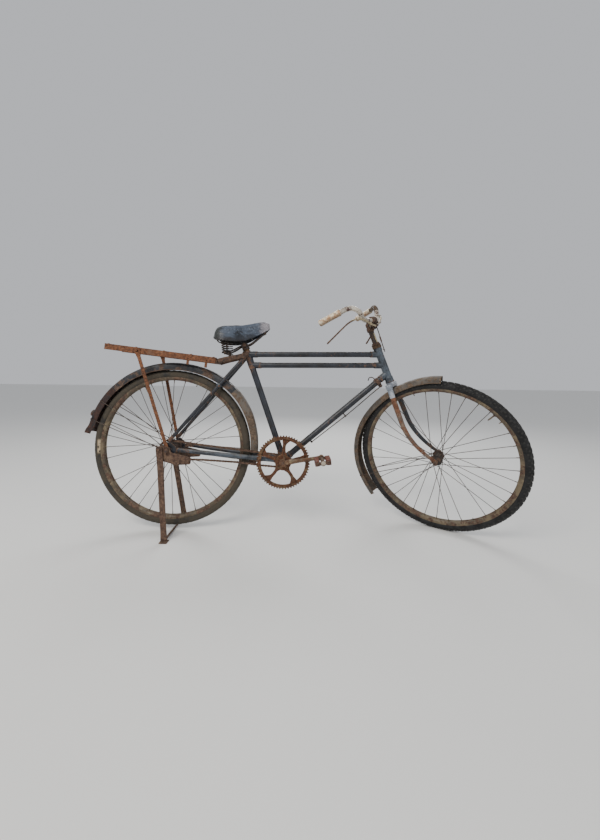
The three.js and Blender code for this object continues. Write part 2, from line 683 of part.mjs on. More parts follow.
const downTop = tubes[2][2];
const alongDownTube = (length) => towards(downTop, BRACKET, length);
const downDirection = BRACKET.clone().sub(downTop).normalize();
const below = point(0, 1, 0).cross(downDirection).normalize();
if (below.z > 0) below.negate();
const besideDownTube = (length, drop) => alongDownTube(length).addScaledVector(below, drop);

function band() {
  const ring = cut(
    bar(alongDownTube(LUG_LENGTH + 8), alongDownTube(LUG_LENGTH + 26), TUBE_RADIUS + 3, 14),
    bar(alongDownTube(LUG_LENGTH), alongDownTube(LUG_LENGTH + 40), boreRadius(TUBE_RADIUS, 12), 12),
  );
  const tab = bar(besideDownTube(LUG_LENGTH + 17, 16), besideDownTube(LUG_LENGTH + 17, 32), 4.5, 8);
  const hook = new THREE.CatmullRomCurve3([
    besideDownTube(LUG_LENGTH + 18, -16), besideDownTube(LUG_LENGTH + 22, -30),
    besideDownTube(LUG_LENGTH + 34, -37), besideDownTube(LUG_LENGTH + 48, -28),
  ]);
  return join(ring, tab, sweep(hook, 8, circle(2.4, 6), { side: point(0, 1, 0) }));
}
addMesh(bicycle, 'down_tube_band', band(), darkRust);

// length along the tube and drop below its axis, where the rod bends or ends
const brakeRodPlaces = [[LUG_LENGTH + 22, 27], [LUG_LENGTH + 230, 28], [LUG_LENGTH + 425, 20]];
function brakeRod() {
  const [top, middle, low] = brakeRodPlaces.map(([length, drop]) => besideDownTube(length, drop));
  const legs = brakeRodPlaces.slice(1).map(([length, drop]) => (
    bar(besideDownTube(length, TUBE_RADIUS + SEAM), besideDownTube(length, drop), 3, 6)
  ));
  return join(bar(top, middle, 2.6, 8), bar(middle, low, 2.6, 8), ...legs);
}
addMesh(bicycle, 'rear_brake_rod', brakeRod(), darkRust);

// Fork, steering and front wheel. Here X is square to the steering axis and Z is along it.

const tilted = new THREE.Group();
tilted.position.set(STEERING_AXIS_X, 0, REAR_AXLE_Z);
tilted.rotation.y = -radians(90 - HEAD_ANGLE);
const fork = new THREE.Group();
fork.rotation.z = -radians(STEER_ANGLE);
tilted.add(fork);
bicycle.add(tilted);

// The front tyre touches the ground when turned: the wheel plane leans with the steering axis.
const forwardRise = headCosine * Math.cos(radians(STEER_ANGLE));
const wheelReach = (TYRE_RADIUS - TYRE_SECTION) * Math.hypot(forwardRise, headSine) + TYRE_SECTION;
const FRONT_AXLE_U = (wheelReach - REAR_AXLE_Z - FORK_RAKE * forwardRise) / headSine;
const FRONT_AXLE = point(FORK_RAKE, 0, FRONT_AXLE_U);

function forkCrown() {
  const steerer = bar(point(0, 0, CROWN_U - 7), point(0, 0, HEAD_TUBE_U[1] + 2), 12.5, 12);
  const race = bar(point(0, 0, HEAD_TUBE_U[0] - 12), point(0, 0, HEAD_TUBE_U[0] - SEAM), 19, 16);
  const crown = new THREE.BoxGeometry(27, 2 * BLADE_SPREAD[0], 24).translate(0, 0, CROWN_U + 5);
  const ends = SIDES.map(([, s]) => bar(
    point(0, s * BLADE_SPREAD[0], CROWN_U - 7),
    point(0, s * BLADE_SPREAD[0], CROWN_U + 17),
    14.5,
    14,
  ));
  return join(steerer, race, crown, ...ends);
}
addMesh(fork, 'fork_crown', forkCrown(), enamel);

function forkBlade(s) {
  const [topY, axleY] = BLADE_SPREAD.map((y) => s * y);
  const tip = FRONT_AXLE.clone().add(point(-7, axleY - s * 2, 12));
  const straight = new THREE.LineCurve3(point(0, topY, CROWN_U - 7 - SEAM), point(0, s * 49, 150));
  const bend = new THREE.QuadraticBezierCurve3(point(0, s * 49, 150), point(-1, s * 53, 52), tip);
  const path = new THREE.CurvePath();
  path.add(straight);
  path.add(bend);
  const blade = sweep(path, 16, (t) => circle(THREE.MathUtils.lerp(12.5, 7.5, t ** 1.5), 10, 0.85), { side: point(0, 1, 0) });
  const end = flatBar(FRONT_AXLE.clone().add(point(-9, s * 52.6, 14)), FRONT_AXLE.clone().add(point(4, s * 52.6, -9)), 19, 4.5);
  const tip2 = join(blade, end);
  return cut(
    tip2,
    bar(FRONT_AXLE.clone().setY(s * 40), FRONT_AXLE.clone().setY(s * 70), 5.1, 10),
    bar(FRONT_AXLE.clone().setY(s * 40), FRONT_AXLE.clone().setY(s * 50.3), 12, 10),
    bar(FRONT_AXLE.clone().setY(s * 55), FRONT_AXLE.clone().setY(s * 75), 12, 10),
  );
}
for (const [name, s] of SIDES) {
  addMesh(fork, `fork_blade_${name}`, forkBlade(s), rust);
}

const frontWheel = new THREE.Group();
frontWheel.position.copy(FRONT_AXLE);
addWheel(frontWheel, 'front', {
  flanges: [-27, 27], flangeRadius: 24, barrel: 11, bore: 5.6, spokes: 36, missing: [2, 9, 15, 28],
});
addMesh(frontWheel, 'front_axle', axle({
  radius: 4.5, half: 72, lockRadius: 8, lock: [34, 50], nutRadius: 9, nut: [60.2, 69],
}), darkRust);
fork.add(frontWheel);

// The front mudguard, tightest below the crown and standing off towards its ends
const frontGuardRadius = (angle) => 364
  + 34 * THREE.MathUtils.smoothstep(angle, 108, 178)
  + 8 * THREE.MathUtils.smoothstep(-angle, -100, -66);
const FRONT_GUARD_DEPTH = 24;
const frontGuard = guard(68, 199, 22, FRONT_GUARD_DEPTH, frontGuardRadius, () => GUARD_HALF_WIDTH);
frontGuard.translate(FRONT_AXLE.x, 0, FRONT_AXLE.z);
addMesh(fork, 'front_mudguard', frontGuard, guardPaint);

for (const [name, s] of SIDES) {
  const y = s * 57.6;
  const guardEdge = (angle) => {
    const radius = frontGuardRadius(angle) - 17;
    return FRONT_AXLE.clone().add(point(radius * Math.cos(radians(angle)), s * (GUARD_HALF_WIDTH + 2.6), radius * Math.sin(radians(angle))));
  };
  const axlePlace = FRONT_AXLE.clone().setY(y);
  const end = guardEdge(183);
  addMesh(fork, `front_mudguard_stay_${name}`, join(
    eye(FRONT_AXLE, y, 2.2, 8.5, 5.1),
    bar(towards(axlePlace, end, 7.5), end, 1.8, 5),
  ), darkRust);
}

// Stem, handlebar, grips and levers

const BAR_RADIUS = 11;
const BAR_HEAD = point(24, 0, 626);
function headsetTop() {
  return turned([
    [13.6, 0], [20, 0], [20, 9], [17, 12], [17, 20], [13.6, 20],
  ], 16).rotateX(Math.PI / 2).translate(0, 0, HEAD_TUBE_U[1] + SEAM);
}
addMesh(fork, 'headset_locknut', headsetTop(), darkRust);

// forward, sideways and along the steering axis, from the middle to the grip's end
const barPlaces = [
  [24, 0, 626], [24, 40, 627], [21, 74, 631], [19.5, 97, 646], [22, 105, 658],
  [22, 114, 673.5], [10, 142, 693], [-7.5, 167, 696.3], [-28.7, 187, 692.9], [-124.2, 210, 684],
];
const barPath = (s) => barPlaces.map(([x, y, z]) => point(x, s * y, z));
const barCurve = new THREE.CatmullRomCurve3([...barPath(-1).reverse(), ...barPath(1).slice(1)]);
const GRIP_SHARE = 0.15; // of the bar's whole length at each end

function gripped(section, from, to, steps) {
  const rings = [];
  const frames = barCurve.computeFrenetFrames(200, false);
  for (let i = 0; i <= steps; i += 1) {
    const t = THREE.MathUtils.lerp(from, to, i / steps);
    const k = Math.round(t * 200);
    const centre = barCurve.getPointAt(t);
    rings.push(section.map(({ x, y }) => centre.clone().addScaledVector(frames.normals[k], x).addScaledVector(frames.binormals[k], y)));
  }
  return loft(rings, section);
}
const handlebar = join(gripped(circle(BAR_RADIUS, 10), GRIP_SHARE, 1 - GRIP_SHARE, 28));
addMesh(fork, 'handlebar', handlebar, paleMetal);
const gripGap = SEAM / 700;
addMesh(fork, 'grip_right', gripped(circle(15, 12), 0, GRIP_SHARE - gripGap, 6), ivory);
addMesh(fork, 'grip_left', gripped(circle(15, 12), 1 - GRIP_SHARE + gripGap, 1, 6), ivory);

function stem() {
  const quill = bar(point(0, 0, HEAD_TUBE_U[1] + 2 + SEAM), point(0, 0, 618), 12.5, 14);
  const neck = bar(point(0, 0, 606), BAR_HEAD, 14, 12);
  const clamp = bar(point(24, -24, 626), point(24, 24, 626), 17, 14);
  const lug = bar(point(28, 0, 612), point(58, 0, 604), 6, 8);
  const body = join(quill, neck, clamp, lug);
  return cut(body, gripped(circle(BAR_RADIUS + SEAM, 10), 0.44, 0.56, 10));
}
addMesh(fork, 'stem', stem(), darkRust);

// Each lever hangs from the bracket on the stem and follows the bar down to its tip.
const leverPlaces = [
  [34, 15.6, 597], [32, 58, 609], [33, 86, 620], [31.5, 110, 630], [21.5, 138, 640.6],
  [8, 166, 642.7], [-10.2, 190, 637.2], [-39.2, 208, 623.5], [-73.5, 218, 608.5], [-116.2, 226, 591],
];
const LEVER_DROOP = [0, 48]; // at the tip: the left lever is bent down
for (const [i, [name, s]] of SIDES.entries()) {
  const curve = new THREE.CatmullRomCurve3(leverPlaces.map(([x, y, z]) => {
    const droop = LEVER_DROOP[i] * THREE.MathUtils.smoothstep(-x, 0, 118);
    return point(x - droop * 0.25, s * y, z - droop);
  }));
  addMesh(fork, `brake_lever_${name}`, sweep(curve, 18, circle(4, 8)), paleMetal);
}

// The bracket in front of the stem that carries both levers, with the front brake's rod
function leverBracket() {
  const cross = bar(point(34, -13.6, 597), point(34, 13.6, 597), 6, 10);
  const neck = bar(point(12, 0, 590), point(34, 0, 597), 6, 8);
  const collar = bar(point(0, 0, 580), point(0, 0, 598), 16.5, 14);
  const rod = bar(point(33, 0, 596), point(27, 0, 470), 3, 8);
  return cut(join(collar, neck, cross, rod), bar(point(0, 0, 570), point(0, 0, 640), 12.5 + SEAM, 14));
}
addMesh(fork, 'lever_bracket', leverBracket(), darkRust);

// The origin: the middle of the ground below the bicycle
bicycle.updateMatrixWorld(true);
const box = new THREE.Box3().setFromObject(bicycle, true);
bicycle.position.set(-(box.min.x + box.max.x) / 2, -(box.min.y + box.max.y) / 2, -box.min.z);

export default bicycle;
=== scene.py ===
# The looks of an old rusted roadster bicycle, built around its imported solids.
# Lengths are in millimetres until a shape becomes a mesh, and in metres after that.
# The plan axes have the rear axle at x = 0 and the ground at z = 0, with X forward and Y to the left.
from math import copysign, cos, exp, hypot, pi, radians, sin, tan

import bmesh
import bpy
from mathutils import Matrix, Vector, noise


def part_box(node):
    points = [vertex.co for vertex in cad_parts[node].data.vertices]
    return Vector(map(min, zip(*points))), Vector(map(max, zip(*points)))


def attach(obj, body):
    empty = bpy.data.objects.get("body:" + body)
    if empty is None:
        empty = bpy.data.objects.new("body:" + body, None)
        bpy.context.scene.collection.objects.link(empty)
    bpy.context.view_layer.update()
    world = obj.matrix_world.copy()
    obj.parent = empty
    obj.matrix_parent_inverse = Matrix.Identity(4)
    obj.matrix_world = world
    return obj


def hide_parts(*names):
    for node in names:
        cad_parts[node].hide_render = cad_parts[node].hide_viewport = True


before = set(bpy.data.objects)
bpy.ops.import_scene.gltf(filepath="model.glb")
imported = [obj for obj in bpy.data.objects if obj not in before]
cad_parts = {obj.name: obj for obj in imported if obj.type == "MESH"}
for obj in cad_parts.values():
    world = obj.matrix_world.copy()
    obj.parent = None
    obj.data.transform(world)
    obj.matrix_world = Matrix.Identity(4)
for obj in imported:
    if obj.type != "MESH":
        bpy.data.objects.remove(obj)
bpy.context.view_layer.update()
MM = 0.001
TURN = 2 * pi
SIDES = (("right", -1), ("left", 1))


def vec(x, y, z):
    return Vector((x, y, z))


X, Y, Z, ORIGIN = vec(1, 0, 0), vec(0, 1, 0), vec(0, 0, 1), vec(0, 0, 0)


# Places: axes with an origin of their own

class Place:
    def __init__(self, origin, x=X, y=Y, z=Z):
        self.origin, self.x, self.y, self.z = Vector(origin), Vector(x), Vector(y), Vector(z)

    def at(self, x, y, z):
        return self.origin + (self.x * x + self.y * y + self.z * z) * MM

    def moved(self, x, y, z):
        return Place(self.at(x, y, z), self.x, self.y, self.z)


REAR_AXLE_Z = 370
axle_low, axle_high = (Vector(corner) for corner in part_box("rear_axle"))
PLAN = Place((axle_low + axle_high) / 2 - vec(0, 0, REAR_AXLE_Z * MM))

HEAD = radians(68.4)
STEER = radians(35)
HEAD_COSINE, HEAD_SINE = cos(HEAD), sin(HEAD)
STEERING_AXIS_X = 1110.7
forward = vec(HEAD_SINE, 0, HEAD_COSINE)
FORK = Place(
    PLAN.at(STEERING_AXIS_X, 0, REAR_AXLE_Z),
    forward * cos(STEER) - Y * sin(STEER),
    forward * sin(STEER) + Y * cos(STEER),
    (-HEAD_COSINE, 0, HEAD_SINE),
)
FORK_RAKE = 80
CONTACT_CIRCLE, CONTACT_SECTION = 334, 17  # the front tyre's middle circle, and its section's radius
rise = HEAD_COSINE * cos(STEER)
FRONT_AXLE_U = (
    CONTACT_CIRCLE * hypot(rise, HEAD_SINE) + CONTACT_SECTION - REAR_AXLE_Z - FORK_RAKE * rise
) / HEAD_SINE
REAR_WHEEL = PLAN.moved(0, 0, REAR_AXLE_Z)
FRONT_WHEEL = FORK.moved(FORK_RAKE, 0, FRONT_AXLE_U)
CRANK_ANGLE, CRANK_LENGTH = radians(9), 170
BRACKET = vec(502, 0, 318)


def turned_place(x, z, angle):
    """Axes about Y at a plan point, with X turned upwards by the angle."""
    c, s = cos(angle), sin(angle)
    return Place(PLAN.at(x, 0, z), (c, 0, s), Y, (-s, 0, c))


CRANKS = turned_place(BRACKET.x, BRACKET.z, CRANK_ANGLE)


# Points and paths

def towards(a, b, length):
    return a + (b - a).normalized() * length


def shares(count):
    """Even shares from 0 to 1."""
    return [i / count for i in range(count + 1)]


def turns(count):
    """Even angles round a full turn."""
    return [i / count * TURN for i in range(count)]


def line(a, b, count):
    return [a.lerp(b, t) for t in shares(count)]


def polar(angle, radius=1.0, y=0.0):
    return vec(radius * cos(angle), y, radius * sin(angle))


def square_to(along):
    """The direction nearest to Y that is square to another, and the third direction."""
    side = (Y - along * along.y).normalized()
    return side, along.cross(side)


def between(a, b, low, high, t):
    return a * ((high - t) / (high - low)) + b * ((t - low) / (high - low))


def curve(a, corner, b, t):
    """A point on the curve from a to b that is drawn towards the corner."""
    return a * (1 - t) ** 2 + corner * 2 * t * (1 - t) + b * t * t


def spline(points, count):
    """Points along a smooth curve through the given points, with even steps in length."""
    points = [Vector(p) for p in points]
    ends = [points[0] * 2 - points[1], *points, points[-1] * 2 - points[-2]]
    dense = []
    for i in range(len(points) - 1):
        p, t = ends[i:i + 4], [0.0]
        for k in range(3):
            t.append(t[-1] + max((p[k + 1] - p[k]).length, 1e-6) ** 0.5)
        for j in range(24):
            s = t[1] + (t[2] - t[1]) * j / 24
            a = [between(p[k], p[k + 1], t[k], t[k + 1], s) for k in range(3)]
            b = [between(a[k], a[k + 1], t[k], t[k + 2], s) for k in range(2)]
            dense.append(between(b[0], b[1], t[1], t[2], s))
    return evenly(dense + [points[-1]], count)


def evenly(dense, count):
    reach = [0.0]
    for a, b in zip(dense, dense[1:]):
        reach.append(reach[-1] + (b - a).length)
    out, k = [], 0
    for i in range(count + 1):
        goal = reach[-1] * i / count
        while k < len(dense) - 2 and reach[k + 1] < goal:
            k += 1
        span = max(reach[k + 1] - reach[k], 1e-9)
        out.append(dense[k].lerp(dense[k + 1], min(1, (goal - reach[k]) / span)))
    return out


def coil(foot, head, radii, rounds, steps=14):
    """A coil spring's path about the line from its foot to its head."""
    axis = (head - foot).normalized()
    across = axis.orthogonal().normalized()
    other = axis.cross(across)
    path = []
    for share in shares(int(rounds * steps)):
        angle = share * rounds * TURN
        radius = radii[0] + (radii[1] - radii[0]) * share
        path.append(foot.lerp(head, share) + (across * cos(angle) + other * sin(angle)) * radius)
    return path


def smooth(value, low, high):
    t = min(1, max(0, (value - low) / (high - low)))
    return t * t * (3 - 2 * t)


def listed(value, count):
    return list(value) if isinstance(value, (list, tuple)) else [value] * count


def rounded(outline, radius=5, steps=3):
    """The outline with its corners rounded."""
    out = []
    for i in range(len(outline)):
        p, q, r = (Vector(outline[(i + k) % len(outline)]) for k in (-1, 0, 1))
        reach = min(radius, (p - q).length * 0.45, (r - q).length * 0.45)
        a, b = towards(q, p, reach), towards(q, r, reach)
        out += [tuple(curve(a, q, b, t)) for t in shares(steps)]
    return out


def mirrored(half, low, high, middle=()):
    """A profile for lathe: half of it with heights from low up, then its reverse from high down."""
    return [(r, low + h) for r, h in half] + [*middle] + [(r, high - h) for r, h in reversed(half)]


def flat_bar(width, thick, cut, ease):
    """The section of a flat bar with cut corners, in half sizes. cut and ease are where a cut ends."""
    return [
        (-width, -ease), (-cut, -thick), (cut, -thick), (width, -ease),
        (width, ease), (cut, thick), (-cut, thick), (-width, ease),
    ]


# Shapes: the faces of one piece before it becomes an object

class Shape:
    def __init__(self, place=PLAN):
        self.place, self.colour = place, 0
        self.points, self.faces, self.paint, self.wear = [], [], [], []

    def add(self, points, faces, wear=0.0):
        base = len(self.points)
        self.points += [self.place.at(*p) for p in points]
        self.faces += [[base + i for i in face] for face in faces]
        self.paint += [self.colour] * len(faces)
        self.wear += listed(wear, len(points))

    def rings(self, rings, closed=False, wear=0.0, colour_at=None):
        """A skin over rings of points, with ends or closed on itself.

        wear is one value or one for each ring, and on closed rings one for each point of a ring.
        colour_at gives a face's colour from the numbers of its ring and its point.
        """
        count, total, mark = len(rings[0]), len(rings), len(self.faces)
        spans = total if closed else total - 1
        faces = []
        for i in range(spans):
            a, b = i * count, (i + 1) % total * count
            faces += [(a + j, a + (j + 1) % count, b + (j + 1) % count, b + j) for j in range(count)]
        if not closed:
            faces += [tuple(reversed(range(count))), tuple(range((total - 1) * count, total * count))]
        if isinstance(wear, (list, tuple)):
            wear = list(wear) * total if closed else [value for value in wear for _ in range(count)]
        self.add([p for ring in rings for p in ring], faces, wear)
        if colour_at:
            for k in range(spans * count):
                self.paint[mark + k] = colour_at(k // count, k % count)

    def tube(self, path, radius, sides=16, flat=1.0, across=None, wear=0.0, colour_at=None):
        """A round bar along a path. Flat squeezes it, in the direction of across where that is given."""
        path = [Vector(p) for p in path]
        radii, flats = listed(radius, len(path)), listed(flat, len(path))
        normal = None
        rings = []
        for i, centre in enumerate(path):
            tangent = (path[min(i + 1, len(path) - 1)] - path[max(i - 1, 0)]).normalized()
            if across is not None:
                binormal = (across - tangent * across.dot(tangent)).normalized()
                normal = binormal.cross(tangent)
            else:
                if normal is None:
                    normal = tangent.orthogonal().normalized()
                normal = (normal - tangent * normal.dot(tangent)).normalized()
                binormal = tangent.cross(normal)
            ring = []
            for j in range(sides):
                angle = (j + 0.5) / sides * TURN
                out = normal * (cos(angle) * radii[i])
                ring.append(centre + out + binormal * (sin(angle) * radii[i] * flats[i]))
            rings.append(ring)
        self.rings(rings, False, wear, colour_at)

    def rod(self, a, b, radius, sides=16, end=None, bevel=0.0):
        """A round bar between two points, with chamfered ends where a bevel is given."""
        a, b, end = Vector(a), Vector(b), end or radius
        if bevel:
            path = [a, towards(a, b, bevel), towards(b, a, bevel), b]
            self.tube(path, [radius - bevel, radius, end, end - bevel], sides, wear=[1, 0.4, 0.4, 1])
        else:
            self.tube([a, b], [radius, end], sides)

    def lathe(self, centre, axis, profile, segments=40, wear=0.0, wobble=lambda angle: 0):
        """Turns a closed profile of radius and height about an axis."""
        centre, axis = Vector(centre), Vector(axis).normalized()
        u = X if abs(axis.x) < 0.9 else Y
        u = (u - axis * u.dot(axis)).normalized()
        v = u.cross(axis)
        rings = []
        for angle in turns(segments):
            out = u * cos(angle) + v * sin(angle)
            extra = wobble(angle)
            rings.append([centre + out * (r + (extra if r > 1 else 0)) + axis * h for r, h in profile])
        self.rings(rings, True, wear)

    def collar(self, centre, axis, bore, radius, low, high, ease=(1, 1), segments=32, wear=(0.4, 1)):
        """A ring with eased rims. ease is taken off its radius and height, wear is at bore and rims."""
        inset, drop = ease
        self.lathe(centre, axis, [
            (bore, low), (radius - inset, low), (radius, low + drop),
            (radius, high - drop), (radius - inset, high), (bore, high),
        ], segments, [wear[0]] + [wear[1]] * 4 + [wear[0]])

    def block(self, centre, size, axes=(X, Y, Z), bevel=1.0, segments=1, wear=0.3):
        """A box with bevelled edges. Its axes are three directions."""
        bm = bmesh.new()
        bmesh.ops.create_cube(bm, size=1)
        for v in bm.verts:
            v.co = vec(v.co.x * size[0], v.co.y * size[1], v.co.z * size[2])
        offset = min(bevel, min(size) * 0.45)
        bmesh.ops.bevel(bm, geom=bm.edges[:], offset=offset, segments=segments, profile=0.6, affect="EDGES")
        turn = Matrix([Vector(a).normalized() for a in axes]).transposed()
        bm.verts.index_update()
        points = [Vector(centre) + turn @ v.co for v in bm.verts]
        self.add(points, [[v.index for v in f.verts] for f in bm.faces], wear)
        bm.free()

    def slab(self, outline, low, high, edge=0.7, to_point=lambda a, b, h: (a, h, b)):
        """A plate from its outline, with eased edges."""
        area = sum(a[0] * b[1] - b[0] * a[1] for a, b in zip(outline, outline[1:] + outline[:1]))
        inset = []
        for i in range(len(outline)):
            p, q, r = (Vector(outline[(i + k) % len(outline)]) for k in (-1, 0, 1))
            d1, d2 = (q - p).normalized(), (r - q).normalized()
            inward = Vector((-(d1.y + d2.y), d1.x + d2.x)) * (1 if area > 0 else -1)
            inset.append(q + (inward.normalized() * edge if inward.length > 1e-6 else inward))
        ease = min(edge, (high - low) * 0.4)
        levels = ((inset, low), (outline, low + ease), (outline, high - ease), (inset, high))
        self.rings([[to_point(*p, h) for p in level] for level, h in levels], wear=[0.2, 0.9, 0.9, 0.2])

    def nut(self, centre, axis, across, height, washer=0.0):
        """A six-sided nut or bolt head, with an optional washer under it."""
        centre, axis = Vector(centre), Vector(axis).normalized()
        if washer:
            self.rod(centre, centre + axis * 1.4, across * washer, 18, bevel=0.3)
            centre = centre + axis * 1.4
        r = across / 2 / cos(pi / 6)
        path = [centre, centre + axis * height * 0.8, centre + axis * height]
        self.tube(path, [r, r, r * 0.86], 6, wear=[0.3, 0.8, 1])

    def screw(self, a, b, radius, pitch=1.3, sides=12):
        """A threaded rod."""
        path = line(a, b, max(2, int((b - a).length / pitch) * 2))
        self.tube(path, [radius * (1 if i % 2 else 0.87) for i in range(len(path))], sides)


def piece(name, shape, body, materials, angle=35):
    """Turns a shape into an object that rides on its body and stands for the CAD node of its name."""
    mesh = bpy.data.meshes.new(name)
    mesh.from_pydata(shape.points, [], shape.faces)
    mesh.attributes.new("wear", "FLOAT", "POINT").data.foreach_set("value", shape.wear)
    for material in materials:
        mesh.materials.append(material)
    mesh.polygons.foreach_set("material_index", shape.paint)
    bm = bmesh.new()
    bm.from_mesh(mesh)
    bmesh.ops.remove_doubles(bm, verts=bm.verts, dist=2e-6)
    bmesh.ops.dissolve_degenerate(bm, dist=1e-6, edges=bm.edges)
    bmesh.ops.recalc_face_normals(bm, faces=bm.faces)
    bm.to_mesh(mesh)
    bm.free()
    mesh.shade_smooth()
    mesh.set_sharp_from_angle(angle=radians(angle))
    obj = bpy.data.objects.new(name, mesh)
    bpy.context.scene.collection.objects.link(obj)
    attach(obj, body)
    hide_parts(name)
    return obj


# Materials. A colour is written as six hex digits.

def linear(code):
    values = [int(code[i:i + 2], 16) / 255 for i in (0, 2, 4)]
    return [v / 12.92 if v <= 0.04045 else ((v + 0.055) / 1.055) ** 2.4 for v in values] + [1.0]


class Value:
    """A node's output, for sums and products in a material."""

    def __init__(self, graph, socket):
        self.graph, self.socket = graph, socket

    def joined(self, operation, other=0.0):
        node = self.graph.tree.nodes.new("ShaderNodeMath")
        node.operation = operation
        self.graph.put(node.inputs[0], self)
        self.graph.put(node.inputs[1], other)
        return Value(self.graph, node.outputs[0])

    def __add__(self, other):
        return self.joined("ADD", other)

    def __sub__(self, other):
        return self.joined("SUBTRACT", other)

    def __mul__(self, other):
        return self.joined("MULTIPLY", other)

    def __abs__(self):
        return self.joined("ABSOLUTE")

    def clamped(self):
        self.socket.node.use_clamp = True
        return self


class Graph:
    """The nodes of one material."""

    def __init__(self, name):
        self.material = bpy.data.materials.new(name)
        self.material.use_nodes = True
        self.tree = self.material.node_tree
        self.tree.nodes.clear()
        self.shader = self.tree.nodes.new("ShaderNodeBsdfPrincipled")
        output = self.tree.nodes.new("ShaderNodeOutputMaterial")
        self.put(output.inputs[0], Value(self, self.shader.outputs[0]))
        self.place = self.value("ShaderNodeTexCoord", "Object")

    def put(self, socket, value):
        if isinstance(value, Value):
            self.tree.links.new(value.socket, socket)
        else:
            socket.default_value = linear(value) if isinstance(value, str) else value

    def new(self, kind, **inputs):
        node = self.tree.nodes.new(kind)
        for key, value in inputs.items():
            self.put(node.inputs[key], value)
        return node

    def value(self, kind, output=0, **inputs):
        return Value(self, self.new(kind, **inputs).outputs[output])

    def noise(self, scale, detail=4, roughness=0.6, stretch=None, distortion=0.0):
        place = self.value("ShaderNodeMapping", Vector=self.place, Scale=stretch) if stretch else self.place
        return self.value(
            "ShaderNodeTexNoise", Vector=place, Scale=scale, Detail=detail, Roughness=roughness,
            Distortion=distortion,
        )

    def cells(self, scale):
        """The distance to the nearest edge between cells."""
        node = self.new("ShaderNodeTexVoronoi", Vector=self.place, Scale=scale)
        node.feature = "DISTANCE_TO_EDGE"
        return Value(self, node.outputs["Distance"])

    def fit(self, value, low, high, to_low=0.0, to_high=1.0):
        node = self.tree.nodes.new("ShaderNodeMapRange")
        node.interpolation_type = "SMOOTHSTEP"
        for socket, given in zip(node.inputs, (value, low, high, to_low, to_high)):
            self.put(socket, given)
        return Value(self, node.outputs[0])

    def mix(self, factor, a, b):
        node = self.tree.nodes.new("ShaderNodeMix")
        node.data_type = "RGBA"
        self.put(node.inputs["Factor"], factor)
        for socket, colour in zip([s for s in node.inputs if s.type == "RGBA"], (a, b)):
            self.put(socket, colour)
        return Value(self, [s for s in node.outputs if s.type == "RGBA"][0])

    def ramp(self, value, places, codes):
        node = self.new("ShaderNodeValToRGB", Fac=value)
        elements = node.color_ramp.elements
        while len(elements) < len(places):
            elements.new(0.5)
        for element, at, code in zip(elements, places, codes):
            element.position = at
            element.color = linear(code)
        return Value(self, node.outputs[0])

    def wear(self):
        node = self.tree.nodes.new("ShaderNodeAttribute")
        node.attribute_name = "wear"
        return Value(self, node.outputs["Fac"])

    def split(self, value):
        return [Value(self, socket) for socket in self.new("ShaderNodeSeparateXYZ", Vector=value).outputs]

    def facing_up(self):
        return self.split(self.value("ShaderNodeNewGeometry", "Normal"))[2]

    def finished(self, colour, roughness, height, strength, distance, metallic=0.0, coat=0.0):
        bump = self.value("ShaderNodeBump", Height=height, Strength=strength, Distance=distance)
        for name, value in (
            ("Base Color", colour), ("Roughness", roughness), ("Normal", bump), ("Metallic", metallic),
            ("Coat Weight", coat),
        ):
            self.put(self.shader.inputs[name], value)
        return self.material


RUST = "21140e 4b2f1f 754a30 9c6d4a"
BROWN_RUST = "1e1613 3d2c24 5e483a 816852"
MUTED_RUST = "2a1f1a 4b372c 6b5040 8f7460"


def weathered(
    name, paint, rust=RUST, amount=0.3, size=40, dust=0.25, dust_code="8d8372", metallic=0.0,
    rough=(0.42, 0.88), bump=0.5, edge=0.35, coat=0.0,
):
    """Paint or metal with rust in patches and at worn edges, and dust on what faces up.

    paint has two colours that mix in patches and one for scuffs. amount is the share that is rusted.
    """
    g = Graph(name)
    paint = paint.split()
    fine = g.noise(520, 3, 0.6)
    level = g.noise(size, 7, 0.68, distortion=0.4) * 0.72 + g.noise(size * 4.5, 5, 0.7) * 0.28
    limit = 0.66 - amount * 0.32
    mask = g.fit(level + g.wear() * (edge * 0.32), limit - 0.028, limit + 0.028)
    patches = g.fit(g.noise(18, 5, 0.65), 0.4, 0.6)
    scuffs = g.fit(g.noise(150, 6, 0.75, (1, 1, 0.4)), 0.56, 0.66)
    painted = g.mix(scuffs * 0.45, g.mix(patches, paint[0], paint[1]), paint[2])
    rusted = g.ramp(g.noise(95, 6, 0.7) * 0.6 + fine * 0.4, (0.3, 0.44, 0.55, 0.68), rust.split())
    settled = g.fit(g.facing_up(), 0.2, 0.95) * g.fit(g.noise(60, 5, 0.7), 0.35, 0.65)
    colour = g.mix(settled * dust, g.mix(mask, painted, rusted), dust_code)
    roughness = (g.fit(mask, 0.0, 1.0, *rough) + (fine - 0.5) * 0.35).clamped()
    scale = (g.noise(260, 6, 0.75) + fine * 0.5) * g.fit(mask, 0, 1, 0.12, 1.0)
    return g.finished(
        colour, (roughness + settled * dust).clamped(), scale - mask * 0.25, bump, 0.0014, metallic, coat,
    )


